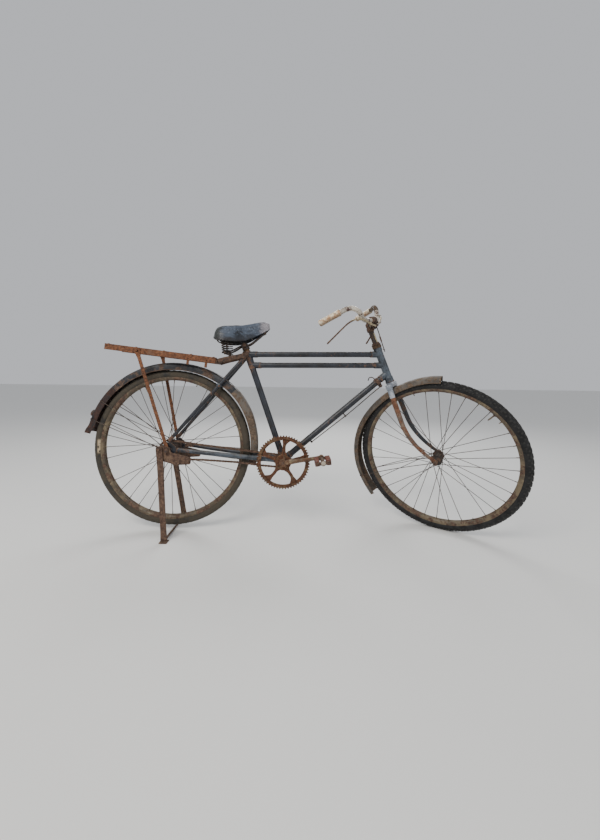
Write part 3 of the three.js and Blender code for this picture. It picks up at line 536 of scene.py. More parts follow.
ENAMEL = weathered(
    "dark_enamel", "0e1015 1f232c 363d4b", MUTED_RUST, amount=0.17, size=30, dust_code="6f695d",
    rough=(0.44, 0.85), edge=0.62, coat=0.04,
)
SCUFFED_ENAMEL = weathered(
    "scuffed_enamel", "20252c 434c56 737d84", MUTED_RUST, amount=0.14, size=44, dust=0.3, edge=0.45,
    rough=(0.42, 0.85),
)
PALE_ENAMEL = weathered("pale_enamel", "737a84 a5a9b0 cfd0d3", amount=0.07, size=46, dust=0.16, edge=0.12)
RUST_ORANGE = weathered(
    "rust_orange", "5f3f2a 84593b a97f5b", amount=0.66, size=34, dust=0.18, rough=(0.7, 0.92), bump=0.7,
)
RUST_BROWN = weathered(
    "rust_brown", "4d3b31 685240 8a745c", BROWN_RUST, amount=0.58, size=38, dust=0.2, rough=(0.7, 0.92),
    bump=0.7,
)
WHEEL_BROWN = weathered(
    "chainwheel_brown", "453320 664e31 8b7049", "1c110b 3c2517 5b3823 79543a", amount=0.58, size=52, dust=0.2,
    rough=(0.66, 0.92), bump=0.7,
)
DARK_RUST = weathered(
    "dark_rust", "1c1613 332822 504136", BROWN_RUST, amount=0.4, size=50, dust=0.18, rough=(0.6, 0.9),
    bump=0.6,
)
RIM = weathered(
    "rusted_rim", "42382a 675a44 948468", BROWN_RUST, amount=0.46, size=26, dust=0.12, rough=(0.45, 0.86),
)
GUARD_DARK = weathered(
    "guard_dark", "101217 24262b 413f3e", "241a16 3f2f27 5d4a3d 7b6855", amount=0.34, size=22, dust=0.3,
    dust_code="5d564c", rough=(0.4, 0.85), edge=0.5,
)
GUARD_BROWN = weathered(
    "guard_brown", "3e3832 595149 776d62", "2a211a 473a2f 665545 84725f", amount=0.42, size=20, dust=0.3,
    dust_code="7d7468", rough=(0.55, 0.88), edge=0.5,
)
GUARD_RED = weathered(
    "guard_red_brown", "150f0e 291a17 432d26", "150c0a 281914 3e271e 5a3f31", amount=0.45, size=24, dust=0.1,
)
WORN_PLATE = weathered(
    "worn_plate", "80766a b1a593 dcd2bf", "261a15 43302a 63493c 836752", amount=0.34, size=36, dust=0.2,
    metallic=0.35, rough=(0.32, 0.85), edge=0.3,
)
BAR_PLATE = weathered(
    "bar_plate", "a2998c cfc5b5 efe9dc", "261a19 44302d 62463f 80675a", size=30, dust=0.1, metallic=0.3,
    rough=(0.26, 0.8), edge=0.2,
)
BRONZE_RUST = weathered(
    "bronze_rust", "3f321f 5c4829 7f6839", "261a12 4a3420 6c5030 8c6d42", amount=0.48, size=50,
)
DARK_BRONZE = weathered(
    "dark_bronze", "362a1d 503f2b 705b41", "1c1510 35271b 4e3a28 69523a", amount=0.45, size=50,
)
CRANK_TAN = weathered(
    "crank_tan", "584a3a 7c694f a8937a", "2c1c14 4a3223 674a34 84664a", amount=0.42, rough=(0.5, 0.85),
)
LEVER_PALE = weathered(
    "lever_pale", "958669 bdae90 d8cbae", BROWN_RUST, amount=0.26, size=60, metallic=0.25, rough=(0.4, 0.8),
)
LEVER_BROWN = weathered("lever_brown", "30261d 4a3b2c 6b5843", BROWN_RUST, amount=0.4, size=60)
# a light strip on the stem's quill: a painted highlight
STEM_HIGHLIGHT = weathered("stem_painted_highlight", "8c8063 b3a681 cfc4a3", BROWN_RUST, amount=0.2, size=50, dust=0.1)
BLADE_RUST = weathered(
    "blade_rust", "4d3e34 705c4c 998577", "2f1e17 523526 744d37 946a52", amount=0.5, size=34, dust=0.12,
    rough=(0.6, 0.92), bump=0.7,
)
BLOCK_RUBBER = weathered(
    "pedal_rubber", "201817 3a2826 6c5450", "2b1512 532a22 753f33 a07a6c", amount=0.42, size=60,
)


def tyre_rubber(name, dark, dusty, amount, worn, tread_dust_and_highlight, highlight_at=None):
    """Rubber with dust in clouds, fine cracks, and tread blocks made lighter, partly as dust and partly as a
    painted highlight. The last argument, where given, places a painted highlight, a light spot on the tyre.
    """
    g = Graph(name)
    cloud = g.fit(g.noise(26, 6, 0.7), 0.5 - amount * 0.3, 0.72 - amount * 0.3)
    cracks = g.fit(g.cells(230), 0.0, 0.06)
    colour = g.mix(cloud, dark, dusty)
    colour = g.mix(g.fit(g.noise(90, 5, 0.7), 0.52, 0.7, 0.0, 0.35 * worn), colour, "5a544a")
    # tread blocks lighter: partly dust, partly a painted highlight
    colour = g.mix(g.wear() * tread_dust_and_highlight, colour, "4b4843")
    # a painted highlight: a light pinkish spot on the tyre where it meets the rim
    if highlight_at:
        axes = g.split(g.place)
        near_x, near_z = (
            g.fit(abs(axes[k] - highlight_at[k]), reach, reach * 0.6) for k, reach in ((0, 0.011), (2, 0.036))
        )
        pale = near_x * near_z * g.fit(g.noise(70, 5, 0.7), 0.36, 0.5)
        colour = g.mix(pale * 0.9, colour, "c9b494")
    colour = g.mix(cracks * 0.5, g.mix(0.35, colour, "0c0c0d"), colour)
    height = g.noise(420, 4, 0.65) * 0.6 + cracks * 0.4
    return g.finished(colour, g.fit(cloud, 0, 1, 0.62, 0.92), height, 0.45, 0.0008)


FRONT_RUBBER = tyre_rubber("front_rubber", "060607", "131314", 0.3, 0.3, 0.5)
# the rear tyre gets a painted highlight beside the rim
REAR_RUBBER = tyre_rubber("rear_rubber", "181613", "474035", 0.6, 0.9, 0.3, REAR_WHEEL.at(-321, 0, 6))


def ivory_grip():
    """Ivory plastic, stained, with dark marks, and darker on the faces that point down."""
    g = Graph("ivory_grip")
    dark = g.fit(g.noise(120, 5, 0.7) + g.wear() * 0.2, 0.58, 0.72)
    colour = g.mix(g.fit(g.noise(40, 6, 0.72), 0.42, 0.64), "e3d8bd", "b98a5e")
    colour = g.mix(dark * 0.8, colour, "5b4431")
    # darker on the faces that point down
    colour = g.mix(g.fit(g.facing_up(), 0.1, -0.7) * 0.75, colour, "6b4d36")
    return g.finished(colour, g.fit(dark, 0, 1, 0.42, 0.8), g.noise(300, 5, 0.7), 0.25, 0.0006)


def saddle_cover_finish():
    """Navy cover, cracked, and worn to a light blue on the flanks, where a painted highlight brightens it
    further, and white at the nose.
    """
    g = Graph("saddle_cover")
    x, _, z = g.split(g.place)
    rear = PLAN.at(0, 0, 0).x
    # the flanks get more wear and a painted highlight
    flank_wear_and_sheen = g.fit(z, 0.862, 0.896) * g.fit(x, rear + 0.205, rear + 0.25)
    worn_and_sheen = g.fit(g.noise(36, 6, 0.7, (0.45, 1, 1.4), 0.3) + flank_wear_and_sheen * 0.16, 0.5, 0.68)
    # light blue spots: painted highlights, more of them on the flanks
    painted_sheen_spots = g.fit(g.noise(110, 6, 0.75) + flank_wear_and_sheen * 0.06, 0.6, 0.7)
    nose = g.fit(x + g.noise(60, 5, 0.7) * 0.06, rear + 0.405, rear + 0.445)
    torn = g.fit(g.facing_up(), 0.72, 0.95) * g.fit(g.noise(34, 5, 0.65), 0.47, 0.55)
    cracks = g.fit(g.cells(120), 0.0, 0.05)
    colour = g.mix(g.fit(g.noise(20, 4, 0.6), 0.4, 0.6), "10141c", "1e2532")
    # mixed in turn: wear with painted sheen, painted highlight spots, the worn nose, darker towards the rear,
    # tears on top, darker towards the bottom of the skirt, and the cracks
    for amount, code in (
        (worn_and_sheen * 0.8, "4a5565"), (painted_sheen_spots * 0.5, "919bab"), (nose * 0.72, "a09a9e"),
        (g.fit(x, rear + 0.245, rear + 0.205) * 0.8, "252a24"), (torn, "17130f"),
        (g.fit(z, 0.872, 0.852) * 0.7, "211c1b"), (g.fit(cracks, 0, 1, 0.55, 0.0), "0a0c12"),
    ):
        colour = g.mix(amount, colour, code)
    height = cracks * 0.7 + (g.noise(380, 5, 0.7) * 0.5 - torn * 0.8)
    return g.finished(colour, g.fit(worn_and_sheen, 0, 1, 0.42, 0.6) + torn * 0.35, height, 0.5, 0.0012)


def red_lens():
    """A dull red reflector with a fine grid in it."""
    g = Graph("red_lens")
    colour = g.mix(g.fit(g.noise(70, 5, 0.7), 0.45, 0.62), "401a15", "2c1a15")
    return g.finished(colour, 0.25, g.fit(g.cells(260), 0.0, 0.12), 0.4, 0.0006, coat=0.5)


IVORY, SADDLE, LENS = ivory_grip(), saddle_cover_finish(), red_lens()


# Wheels

TYRE_RADIUS, TYRE_SECTION = 350.4, 18.4
# each row of tread blocks: angle across the tyre, length, width, share of a pitch that it lags, skew
FRONT_TREAD = ((0, 12, 8, 0, 0.5), (0.5, 9.5, 6.8, 0.5, 0.4), (0.95, 8.5, 7, 0, 0.2), (1.36, 6.5, 7, 0.5, 0))
REAR_TREAD = ((0, 14, 4, 0, 0.2), (0.4, 12, 3.6, 0.5, 0.6), (0.8, 10, 3, 0, 0.8))
BLOCK_FACES = [(0, 1, 5, 4), (1, 2, 6, 5), (2, 3, 7, 6), (3, 0, 4, 7), (4, 5, 6, 7), (3, 2, 1, 0)]


def tyre(name, place, body, material, tread, count, lift):
    """A tyre with moulded side ribs and mirrored rows of tread blocks. lift is the height of the blocks."""
    shape = Shape(place)
    centre = TYRE_RADIUS - TYRE_SECTION - lift * 0.3
    outline = []
    for angle in turns(28):
        c, s = cos(angle), sin(angle)
        radius = TYRE_SECTION - 1.2 * max(0, c) ** 6 + (0.7 if 0.45 < abs(s) < 0.62 and c > 0 else 0)
        outline.append((centre + radius * c, radius * s))
    shape.lathe(ORIGIN, Y, outline, 120, wobble=lambda a: 0.25 * sin(5 * a) + 0.2 * sin(11 * a + 1))
    rows = [(s * tilt, long / 2, wide / 2, lag, s * skew) for tilt, long, wide, lag, skew in tread
            for s in ((1, -1) if tilt else (1,))]
    for tilt, a, b, lag, skew in rows:
        corners = [(-a, -b), (a, -b), (a, b), (-a, b)]
        for i in range(count):
            out = polar((i + lag) / count * TURN)
            along = out.cross(Y)
            normal = out * cos(tilt) + Y * sin(tilt)
            side = Y * cos(tilt) - out * sin(tilt)
            middle = out * centre + normal * (TYRE_SECTION - 0.9)
            foot, head = middle - normal * 0.6, middle + normal * lift
            points = [foot + along * (p + skew * q) + side * q for p, q in corners]
            points += [head + along * (p * 0.82 + skew * q) + side * (q * 0.86) for p, q in corners]
            shape.add(points, BLOCK_FACES, 0.6)
    piece(name, shape, body, [material], 28)


tyre("front_tyre", FRONT_WHEEL, "front_wheel", FRONT_RUBBER, FRONT_TREAD, 88, 3.0)
tyre("rear_tyre", REAR_WHEEL, "rear_wheel", REAR_RUBBER, REAR_TREAD, 84, 0.9)

SPOKES, SPOKE_REACH = 36, 303.5
RIM_HALF = [
    (319.5, 14.9), (316.6, 14.9), (312.6, 14.4), (308.2, 12.2), (305.2, 9.2), (304.4, 6.8), (305.6, 4.2),
    (308, 2),
]
VALVE = ((308, 276, 3.2, 10), (276, 271, 2.4, 10), (305, 301, 6.5, 6))  # from, to, radius, sides


def rim(name, place, body, valve_angle):
    """A rolled rim with its nipples and its valve."""
    shape = Shape(place)
    outer = mirrored(RIM_HALF, 0, 0)
    inner = [(r + 1.6, y * 0.9) for r, y in outer]
    shape.lathe(ORIGIN, Y, outer + inner[::-1], 132, wobble=lambda a: 0.3 * sin(3 * a + 2))
    for i, angle in enumerate(turns(SPOKES)):
        y = -3 if i % 2 == 0 else 3
        shape.rod(polar(angle, 307, y), polar(angle, 294, y * 1.6), 2.3, 8, 1.7)
    for start, stop, radius, sides in VALVE:
        shape.rod(polar(valve_angle, start), polar(valve_angle, stop), radius, sides)
    piece(name, shape, body, [RIM], 40)


rim("front_rim", FRONT_WHEEL, "front_wheel", radians(26.5))
rim("rear_rim", REAR_WHEEL, "rear_wheel", radians(115))


def hub_and_spokes(name, place, body, right, left, flange, barrel, bore, missing):
    """The hub shell and its laced spokes. right and left are its flanges' places. Some spokes are gone."""
    shape = Shape(place)
    middle = (right + left) / 2
    shape.lathe(ORIGIN, Y, mirrored([
        (bore, -6), (barrel - 3, -6), (barrel, -4), (barrel + 2, -2.4), (flange - 1, -2), (flange, -1),
        (flange, 1), (flange - 1, 2), (barrel + 3, 2.4), (barrel, 6),
    ], right, left, [(barrel - 1.5, middle)]), 48)
    shape.lathe(ORIGIN, Y, mirrored([(barrel - 2, 0), (barrel + 0.8, 0)], middle - 5, middle + 5), 32)
    for i, angle in enumerate(turns(SPOKES)):
        if i in missing:
            continue
        on_right = i % 2 == 0
        lean = (1 if (i // 2) % 2 == 0 else -1) * radians(62)
        lift = (1 if (i // 4) % 2 == 0 else -1) * 2.4
        head = polar(angle + lean, flange - 3, (right if on_right else left) + lift)
        foot = polar(angle, SPOKE_REACH, -3 if on_right else 3)
        bow = (foot - head).cross(Y).normalized() * (2.5 if i % 7 == 3 else 0.5)
        root = head - Y * (lift * 1.7)
        shape.tube([head, head.lerp(foot, 0.5) + bow, foot], 1.35, 6)
        shape.tube([root, head], 1.2, 6)
        shape.lathe(root, Y, mirrored([(0, 0), (2, 0)], -1, 1), 6)
    piece(name, shape, body, [DARK_RUST], 40)


hub_and_spokes("rear_hub_and_spokes", REAR_WHEEL, "rear_wheel", -27, 30, 29, 15, 6.2, (7, 20, 33))
hub_and_spokes("front_hub_and_spokes", FRONT_WHEEL, "front_wheel", -27, 27, 24, 11, 5.6, (2, 9, 15, 28))


def axle(name, place, body, radius, half, lock_radius, lock, nut_radius, nut):
    """A threaded axle with its locknuts and outer nuts. lock and nut say from where to where they reach."""
    shape = Shape(place)
    shape.rod((0, -lock[0], 0), (0, lock[0], 0), radius, 12)
    for _, s in SIDES:
        shape.colour = 0
        shape.screw(Y * (s * lock[0]), Y * (s * half), radius)
        shape.lathe(ORIGIN, Y, [
            (radius - 1, s * lock[0]), (lock_radius, s * lock[0]), (lock_radius, s * (lock[0] + 4)),
            (lock_radius - 2, s * (lock[0] + 5)), (lock_radius - 2, s * lock[1]), (radius - 1, s * lock[1]),
        ], 24)
        shape.colour = 1
        shape.nut((0, s * nut[0], 0), Y * s, nut_radius * 1.73, nut[1] - nut[0], 0.62)
    piece(name, shape, body, [DARK_RUST, RUST_BROWN])


axle("rear_axle", REAR_WHEEL, "frame", 5, 88, 9, (38, 55.2), 10, (74, 84))
axle("front_axle", FRONT_WHEEL, "fork", 4.5, 72, 8, (34, 50), 9, (60.2, 69))


# Frame tubes and lugs

TUBE, TOP_TUBE, LUG_WALL, LUG_LENGTH = 14, 12.5, 2.2, 42
HEAD_TUBE_U = (332, 510)


def on_head(u):
    return vec(STEERING_AXIS_X - u * HEAD_COSINE, 0, REAR_AXLE_Z + u * HEAD_SINE)


def head_at(z):
    return on_head((z - REAR_AXLE_Z) / HEAD_SINE)


def seat_at(z):
    return vec(BRACKET.x - (z - BRACKET.z) / tan(radians(70.7)), 0, z)


TUBES = (
    ("upper_top_tube", seat_at(797), head_at(805), TOP_TUBE),
    ("lower_top_tube", seat_at(748), head_at(755), TOP_TUBE),
    ("down_tube", BRACKET, head_at(717.7), TUBE),
)
SEAT_TOP, DOWN_TOP = seat_at(812), TUBES[2][2]


def long_tube(shape, a, b, radius):
    """A tube with faint dents, and its wear set near its two ends."""
    length = (b - a).length
    count = max(6, int(length / 16))
    path = line(a, b, count)
    near = [exp(-min(i, count - i) * length / count / 26) for i in range(count + 1)]
    shape.tube(path, [radius + 0.12 * noise.noise(p * 0.03) for p in path], 28, wear=near)


# each ring of a sleeve: share of its length, share of its points, wear, wall taken off
SLEEVE = (
    (0, 0, 0, 0), (0.55, 0, 0.1, 0), (0.9, 1, 0.5, 0), (0.97, 1, 1, 0.2), (1, 1, 1, 1.3),
    (0.9, 0.9, 0.6, LUG_WALL),
)


def sleeve(shape, a, b, radius, points=7.0):
    """A lug's sleeve at a, on the tube from a to b. It runs out in two points, above and below the tube."""
    along = (towards(a, b, LUG_LENGTH + 3) - a).normalized()
    across, up = square_to(along)
    rings = []
    for share, shaped, _, thinner in SLEEVE:
        ring = []
        for angle in turns(32):
            cut = points * (abs(sin(angle)) ** 1.6 - 0.5) * shaped
            reach = (LUG_LENGTH + 3) * share - points * 0.5 * shaped + cut
            out = across * cos(angle) + up * sin(angle)
            ring.append(a + along * reach + out * (radius + LUG_WALL - thinner))
        rings.append(ring)
    shape.rings(rings, wear=[row[2] for row in SLEEVE])


for name, low, high, radius in TUBES:
    shape = Shape()
    long_tube(shape, towards(low, high, 24), towards(high, low, 24), radius)
    piece(name, shape, "frame", [ENAMEL])

shape = Shape()
for _, low, high, radius in TUBES:
    sleeve(shape, high, low, radius)
head_axis = (on_head(1) - on_head(0)).normalized()
head_rim = [(14, 0), (20.2, 0), (20.6, 2), (20.6, 5), (19.2, 7), (19.2, 22), (18.6, 26), (17, 28)]
rim_wear = [0.8, 0.8, 0.7, 0.6, 0.3, 0, 0.1, 0]
shape.lathe(
    on_head(HEAD_TUBE_U[0]), head_axis, mirrored(head_rim, 0, HEAD_TUBE_U[1] - HEAD_TUBE_U[0]), 44,
    rim_wear + rim_wear[::-1],
)
shape.colour = 1
upper_rim = [(18, -11), (20.9, -10.2), (21, -1), (20.4, 0.1), (14, 0.1)]
shape.lathe(on_head(HEAD_TUBE_U[1]), head_axis, upper_rim, 44, [1, 0.8, 0.8, 1, 0.6])
piece("head_tube", shape, "frame", [SCUFFED_ENAMEL, DARK_BRONZE])

shape = Shape()
long_tube(shape, towards(BRACKET, SEAT_TOP, 24), SEAT_TOP, TUBE)
for _, low, high, radius in TUBES[:2]:
    sleeve(shape, low, high, radius)
lug_path = [towards(SEAT_TOP, BRACKET, d) for d in (84, 80, 60, 20, 2, 0)]
shape.tube(lug_path, [14.4, 15.6, 16.2, 16.2, 16.2, 15.2], 32, wear=[1, 1, 0.4, 0.2, 0.8, 1])
slot_at = towards(SEAT_TOP, BRACKET, 14)
for s in (-1, 1):
    shape.block(slot_at + vec(-15, s * 4.2, 2), (15, 5, 20), bevel=1.6, segments=2)
shape.colour = 1
bolt_at = slot_at + vec(-17, 0, 3)
for s in (-1, 1):
    shape.nut(bolt_at + Y * (s * 6.5), Y * s, 12, 6, 0.6)
shape.rod(bolt_at - Y * 8, bolt_at + Y * 8, 3.4, 10)
piece("seat_tube", shape, "frame", [ENAMEL, BRONZE_RUST])


def stay_foot(s):
    return vec(36.5, s * 58, 371)


def stay_head(s):
    return vec(BRACKET.x, s * 24, BRACKET.z)


shape = Shape()
shape.collar(BRACKET, Y, 9, 22, -34, 34, (1.5, 1.5), 44, (0.6, 1))
sleeve(shape, BRACKET, SEAT_TOP, TUBE)
sleeve(shape, BRACKET, DOWN_TOP, TUBE)
for _, s in SIDES:
    head, foot = stay_head(s), stay_foot(s)
    socket = [head, towards(head, foot, 40), towards(head, foot, 42)]
    shape.tube(socket, [12.2, 12.2, 11.2], 24, wear=[0, 0.8, 1])
    shape.lathe(BRACKET + Y * (s * 34), Y * s, [(10, 0), (19.5, 0), (19.5, 3.6), (18, 4.6), (10, 4.6)], 16)
shape.nut(BRACKET + vec(-6, 0, -22), -Z, 9, 5)
piece("bottom_bracket_shell", shape, "frame", [ENAMEL])


def flattened_stay(shape, foot, head, count, radius_at, flat_length, wear):
    """A stay that is squeezed flat at its foot."""
    flats = [0.5 + 0.5 * smooth(t, 0.0, flat_length) for t in shares(count)]
    radii = [radius_at(t) / (0.55 + 0.45 * f) for t, f in zip(shares(count), flats)]
    shape.tube(line(foot, head, count), radii, 26, flats, Y, wear)


DROPOUT = [(-12, -13), (-12, 5), (-7, 33), (12, 34), (34, 14), (34, -13), (8, -20)]
for name, s in SIDES:
    foot, head = stay_foot(s), stay_head(s)
    shape = Shape()
    flattened_stay(
        shape, foot, towards(head, foot, 24), 26, lambda t: 7.2 + 2.9 * smooth(t, 0.0, 0.32), 0.14,
        [exp(-i / 3) for i in range(27)],
    )
    piece(f"chainstay_{name}", shape, "frame", [SCUFFED_ENAMEL if s < 0 else ENAMEL])

    foot, head = vec(3, s * 58, REAR_AXLE_Z + 40), vec(331, s * 25.5, 792)
    shape = Shape()
    flattened_stay(
        shape, foot, head, 30, lambda t: 7.0 + 1.4 * smooth(t, 0, 0.3) - 0.5 * smooth(t, 0.85, 1), 0.12,
        [exp(-min(i, 30 - i) / 2.5) for i in range(31)],
    )
    shape.rod(head - Y * (s * 1.5), head + Y * (s * 2.5), 10.2, 24, bevel=1.2)
    shape.colour = 1
    clip = foot.lerp(head, 0.64)
    shape.collar(clip, head - foot, 8, 10.8, -7, 7, (0.6, 2), 24, (0, 0))
    shape.block(clip + vec(6, -s * 8, -5), (12, 16, 3), bevel=0.8)
    shape.nut(clip + vec(3, s * 9.5, -2), Y * s, 9, 5, 0.6)
    piece(f"seatstay_{name}", shape, "frame", [ENAMEL, SCUFFED_ENAMEL])

    shape = Shape(REAR_WHEEL)
    shape.slab(rounded(DROPOUT, 5), *sorted((s * 55.5, s * 60.5)), 0.8)
    pad = [(-7, -11), (-7, 11), (14, 11), (14, -11)]
    shape.slab(rounded(pad, 4), *sorted((s * 60.4, s * 61.6)), 0.4)
    piece(f"dropout_{name}", shape, "frame", [ENAMEL])


# Mudguards

GUARD_RADIUS, GUARD_HALF, GUARD_SHEET = 385, 27, 1.3


def guard_ring(radius, half, depth, angle, sway):
    """The section of a mudguard: an arched sheet with deep sides and a raised middle."""
    outer, inner = [], []
    for t in shares(24):
        share = sin((2 * t - 1) * pi / 2)
        drop = 5.5 * abs(share) ** 4 + (depth - 5.5) * abs(share) ** 16
        rise = 0.8 * exp(-(share * half / 5) ** 2)
        outer.append(polar(angle, radius - drop + rise, share * half + sway))
        inner.append(polar(angle, radius - drop - GUARD_SHEET + rise, share * (half - GUARD_SHEET) + sway))
    return outer + inner[::-1]


def mudguard(place, start, stop, steps, depth, radius_at, half_at, paint, seed):
    """A mudguard between two angles in degrees, with rolled edges."""
    shape = Shape(place)
    rings, edges = [], ([], [])
    for t in shares(steps):
        degrees = start + (stop - start) * t
        ripple = 0.7 * noise.noise(vec(degrees * 0.09, seed, 0))
        sway = 0.9 * noise.noise(vec(degrees * 0.05, seed + 9, 0))
        radius, half = radius_at(degrees) + ripple - 0.8, half_at(degrees)
        angle = radians(degrees)
        rings.append(guard_ring(radius, half, depth, angle, sway))
        for edge, s in zip(edges, (-1, 1)):
            edge.append(polar(angle, radius + 0.2 - depth, s * (half - 0.6) + sway))

    def colour_at(ring, _):
        return paint(start + (stop - start) * ring / steps)

    shape.rings(rings, wear=[1] + [0.1] * (steps - 1) + [1], colour_at=colour_at)
    for edge in edges:
        shape.tube(edge, 1.9, 8, wear=0.8, colour_at=colour_at)
    return shape


def bulge(degrees, middle, reach):
    away = degrees - middle
    return max(0, cos(radians(away / reach * 90))) ** 2 if abs(away) < reach else 0


def rear_radius(degrees):
    return GUARD_RADIUS + 9 * bulge(degrees, 38, 50) + 12 * smooth(degrees, 163.5, 170)


def rear_half(degrees):
    return 15.5 + (GUARD_HALF - 15.5) * smooth(degrees, 6, 26) + 1.5 * bulge(degrees, 53, 16)


def rear_paint(degrees):
    return 1 if degrees < 42 else 2 if degrees > 133 else 0


STAY_TURNS = (146, 160)
shape = mudguard(REAR_WHEEL, -3, 170, 120, 31, rear_radius, rear_half, rear_paint, 3.0)
for degrees in STAY_TURNS:
    for s in (-1, 1):
        shape.nut(polar(radians(degrees), GUARD_RADIUS - 8, s * (GUARD_HALF - 0.5)), Y * s, 6, 2.5)
piece("rear_mudguard", shape, "frame", [GUARD_DARK, GUARD_BROWN, GUARD_RED])

shape = Shape(REAR_WHEEL)
out = polar(radians(157))
lens = [(0, 8), (12.6, 8), (12.6, 10), (11, 12.6), (7, 14.2), (3, 14.8), (0, 14.9)]
housing = [(0, 0), (13, 0), (15, 2), (15, 9), (14, 10.5), (12.5, 10.5), (12, 8), (0, 8)]
shape.lathe(out * (GUARD_RADIUS + 0.3), out, lens, 36)
shape.colour = 1
shape.lathe(out * (GUARD_RADIUS + 0.3), out, housing, 36)
piece("rear_reflector", shape, "frame", [LENS, DARK_RUST])


def eye(shape, z, y, thickness, radius, bore):
    """A flat ring about an axle."""
    low, high = y - thickness / 2, y + thickness / 2
    half = [(bore, 0), (radius - 0.5, 0), (radius, 0.5)]
    shape.lathe((0, 0, z), Y, mirrored(half, low, high), 28, [0.3, 0.8, 1, 1, 0.8, 0.3])


def guard_stay(shape, start, degrees, radius, sag, s):
    """A wire from an eye at the axle to a pin in the mudguard's side."""
    end = polar(radians(degrees), radius, s * (GUARD_HALF + 1.8))
    shape.tube([start.lerp(end, t) + Z * (sag * sin(pi * t)) for t in shares(16)], 1.6, 8)
    shape.rod(end - Y * (s * 2.4), end + Y * (s * 1.6), 3.4, 10)


for name, s in SIDES:
    shape = Shape(REAR_WHEEL)
    eye(shape, 0, s * 63.1, 2.4, 9, 5.2)
    for degrees, sag in zip(STAY_TURNS, (6, -4)):
        angle = radians(degrees)
        start = vec(-7 * abs(cos(angle)), s * 63.1, 7 * sin(angle))
        guard_stay(shape, start, degrees, GUARD_RADIUS - 10, sag, s)
    piece(f"rear_mudguard_stay_{name}", shape, "frame", [DARK_RUST])


# Carrier

RAIL_REAR, RAIL_FRONT, RAIL_Y = vec(-272, 0, 832), vec(205, 0, 776), 70
RAIL_AXES = ((RAIL_FRONT - RAIL_REAR).normalized(), Y, (RAIL_FRONT - RAIL_REAR).normalized().cross(Y))
RAIL_SECTION = [
    (1.5, 0), (1.5, -25), (0.7, -25.6), (-0.9, -25.6), (-1.5, -25), (-1.5, -3.6), (-21, -3), (-21.6, -2.4),
    (-21.6, -0.6), (-21, 0),
]


def along_rail(share, y, drop=0.0):
    return RAIL_REAR.lerp(RAIL_FRONT, share) + vec(0, y, -drop)


shape = Shape()
rail_up = RAIL_AXES[2]
for s in (-1, 1):
    rings = []
    for share in shares(24):
        warp = 0.9 * noise.noise(vec(share * 5, s * 4, 1))
        base = along_rail(share, s * RAIL_Y)
        rings.append([base + Y * (s * a + warp) + rail_up * b for a, b in RAIL_SECTION])
    shape.rings(rings, wear=[1] + [0.2] * 23 + [1])
for share in (0.02, 0.27, 0.52, 0.77, 0.975):
    shape.block(along_rail(share, 0, 3.5), (22, 2 * RAIL_Y - 3, 3), RAIL_AXES, 0.7, wear=0.5)
    for s in (-1, 1):
        rivet = [(0, -1), (5.2, -1), (5, 1), (3.4, 2.4), (0, 2.8)]
        shape.lathe(along_rail(share, s * (RAIL_Y - 12)), rail_up, rivet, 14)
for share, depth in ((0.745, 20), (0.91, 24)):
    shape.block(along_rail(share, 3.4 - RAIL_Y, 19 + depth / 2), (11, 3, depth + 12), RAIL_AXES, 0.7)
    for s in (-1, 1):
        shape.nut(along_rail(share, s * (RAIL_Y + 1.5), 16), Y * s, 7.5, 3.2)
piece("carrier_frame", shape, "frame", [RUST_ORANGE])

for name, s in SIDES:
    shape = Shape()
    foot = vec(0, s * 66.8, REAR_AXLE_Z)
    head = along_rail(0.29 if s < 0 else 0.39, s * (RAIL_Y + 3.8), 12)
    eye(shape, REAR_AXLE_Z, s * 66.8, 3.6, 10.5, 5.2)
    a, b = towards(foot, head, 8), towards(head, foot, -8)
    side, across = square_to((b - a).normalized())
    rings = []
    for i, share in enumerate(shares(160)):
        ridge = 0.5 * sin(i * pi / 2)
        width = 7.2 + ridge + 6 * smooth(share, 0.9, 0.99) + 2 * smooth(share, 0.06, 0.0)
        centre = a.lerp(b, share) + side * (0.7 * noise.noise(vec(share * 6, s * 3, 5)))
        section = flat_bar(width, 1.8 + ridge, width - 0.8, 1.1 + ridge)
        rings.append([centre + across * p + side * q for p, q in section])
    shape.rings(rings, wear=0.6)
    shape.nut(head + Y * (s * 1.8), Y * s, 10, 5, 0.62)
    piece(f"carrier_stay_{name}", shape, "frame", [RUST_ORANGE])

shape = Shape()
c, s = cos(0.27), sin(0.27)
shape.block((196, 0, 758.4), (22, 120, 4), ((c, 0, s), Y, (-s, 0, c)))
for _, s in SIDES:
    a, b = vec(197, s * 56.5, 758.6), vec(340, s * 36, 796)
    path = [a, a.lerp(b, 0.3) + vec(0, s * 1.5, 1), a.lerp(b, 0.7) + vec(0, s * 0.5, -1), b]
    shape.tube(evenly(path, 20), 10.2, 14, 0.22, Y, 0.7)
    shape.nut(a + vec(8, s * 2.6, 3), Y * s, 10, 5, 0.6)
    shape.nut(b + vec(-8, s * 2.6, -2), Y * s, 12, 7, 0.6)
piece("carrier_clamp", shape, "frame", [DARK_RUST])


# Saddle and seat post

POST_TOP = towards(SEAT_TOP, BRACKET, -26)
shape = Shape()
post = [towards(SEAT_TOP, BRACKET, d) for d in (10, -0.3, -8, -16, -24, -26)]
shape.tube(post, [12.8, 12.9, 12.95, 12.9, 12.9, 12.2], 32, wear=[1, 1, 0.3, 0.3, 0.5, 1])
piece("seat_post", shape, "frame", [BRONZE_RUST])

SADDLE_ROWS = (
    # x, half width, top, skirt
    (189.5, 34, 886, 873), (192, 56, 892, 867), (197, 75, 899, 861), (206, 91, 912, 855),
    (222, 101, 919, 850.5), (240, 104, 922, 849.5), (260, 100, 923.5, 849.5), (282, 90, 925, 850),
    (302, 73, 927, 851), (320, 59, 929.5, 854), (342, 46, 934, 862), (364, 36, 940, 873),
    (386, 29, 944, 886), (404, 24, 945.5, 896), (418, 20, 943, 905), (427, 16, 939, 911), (431, 11, 934, 917),
)
ARCH = 30


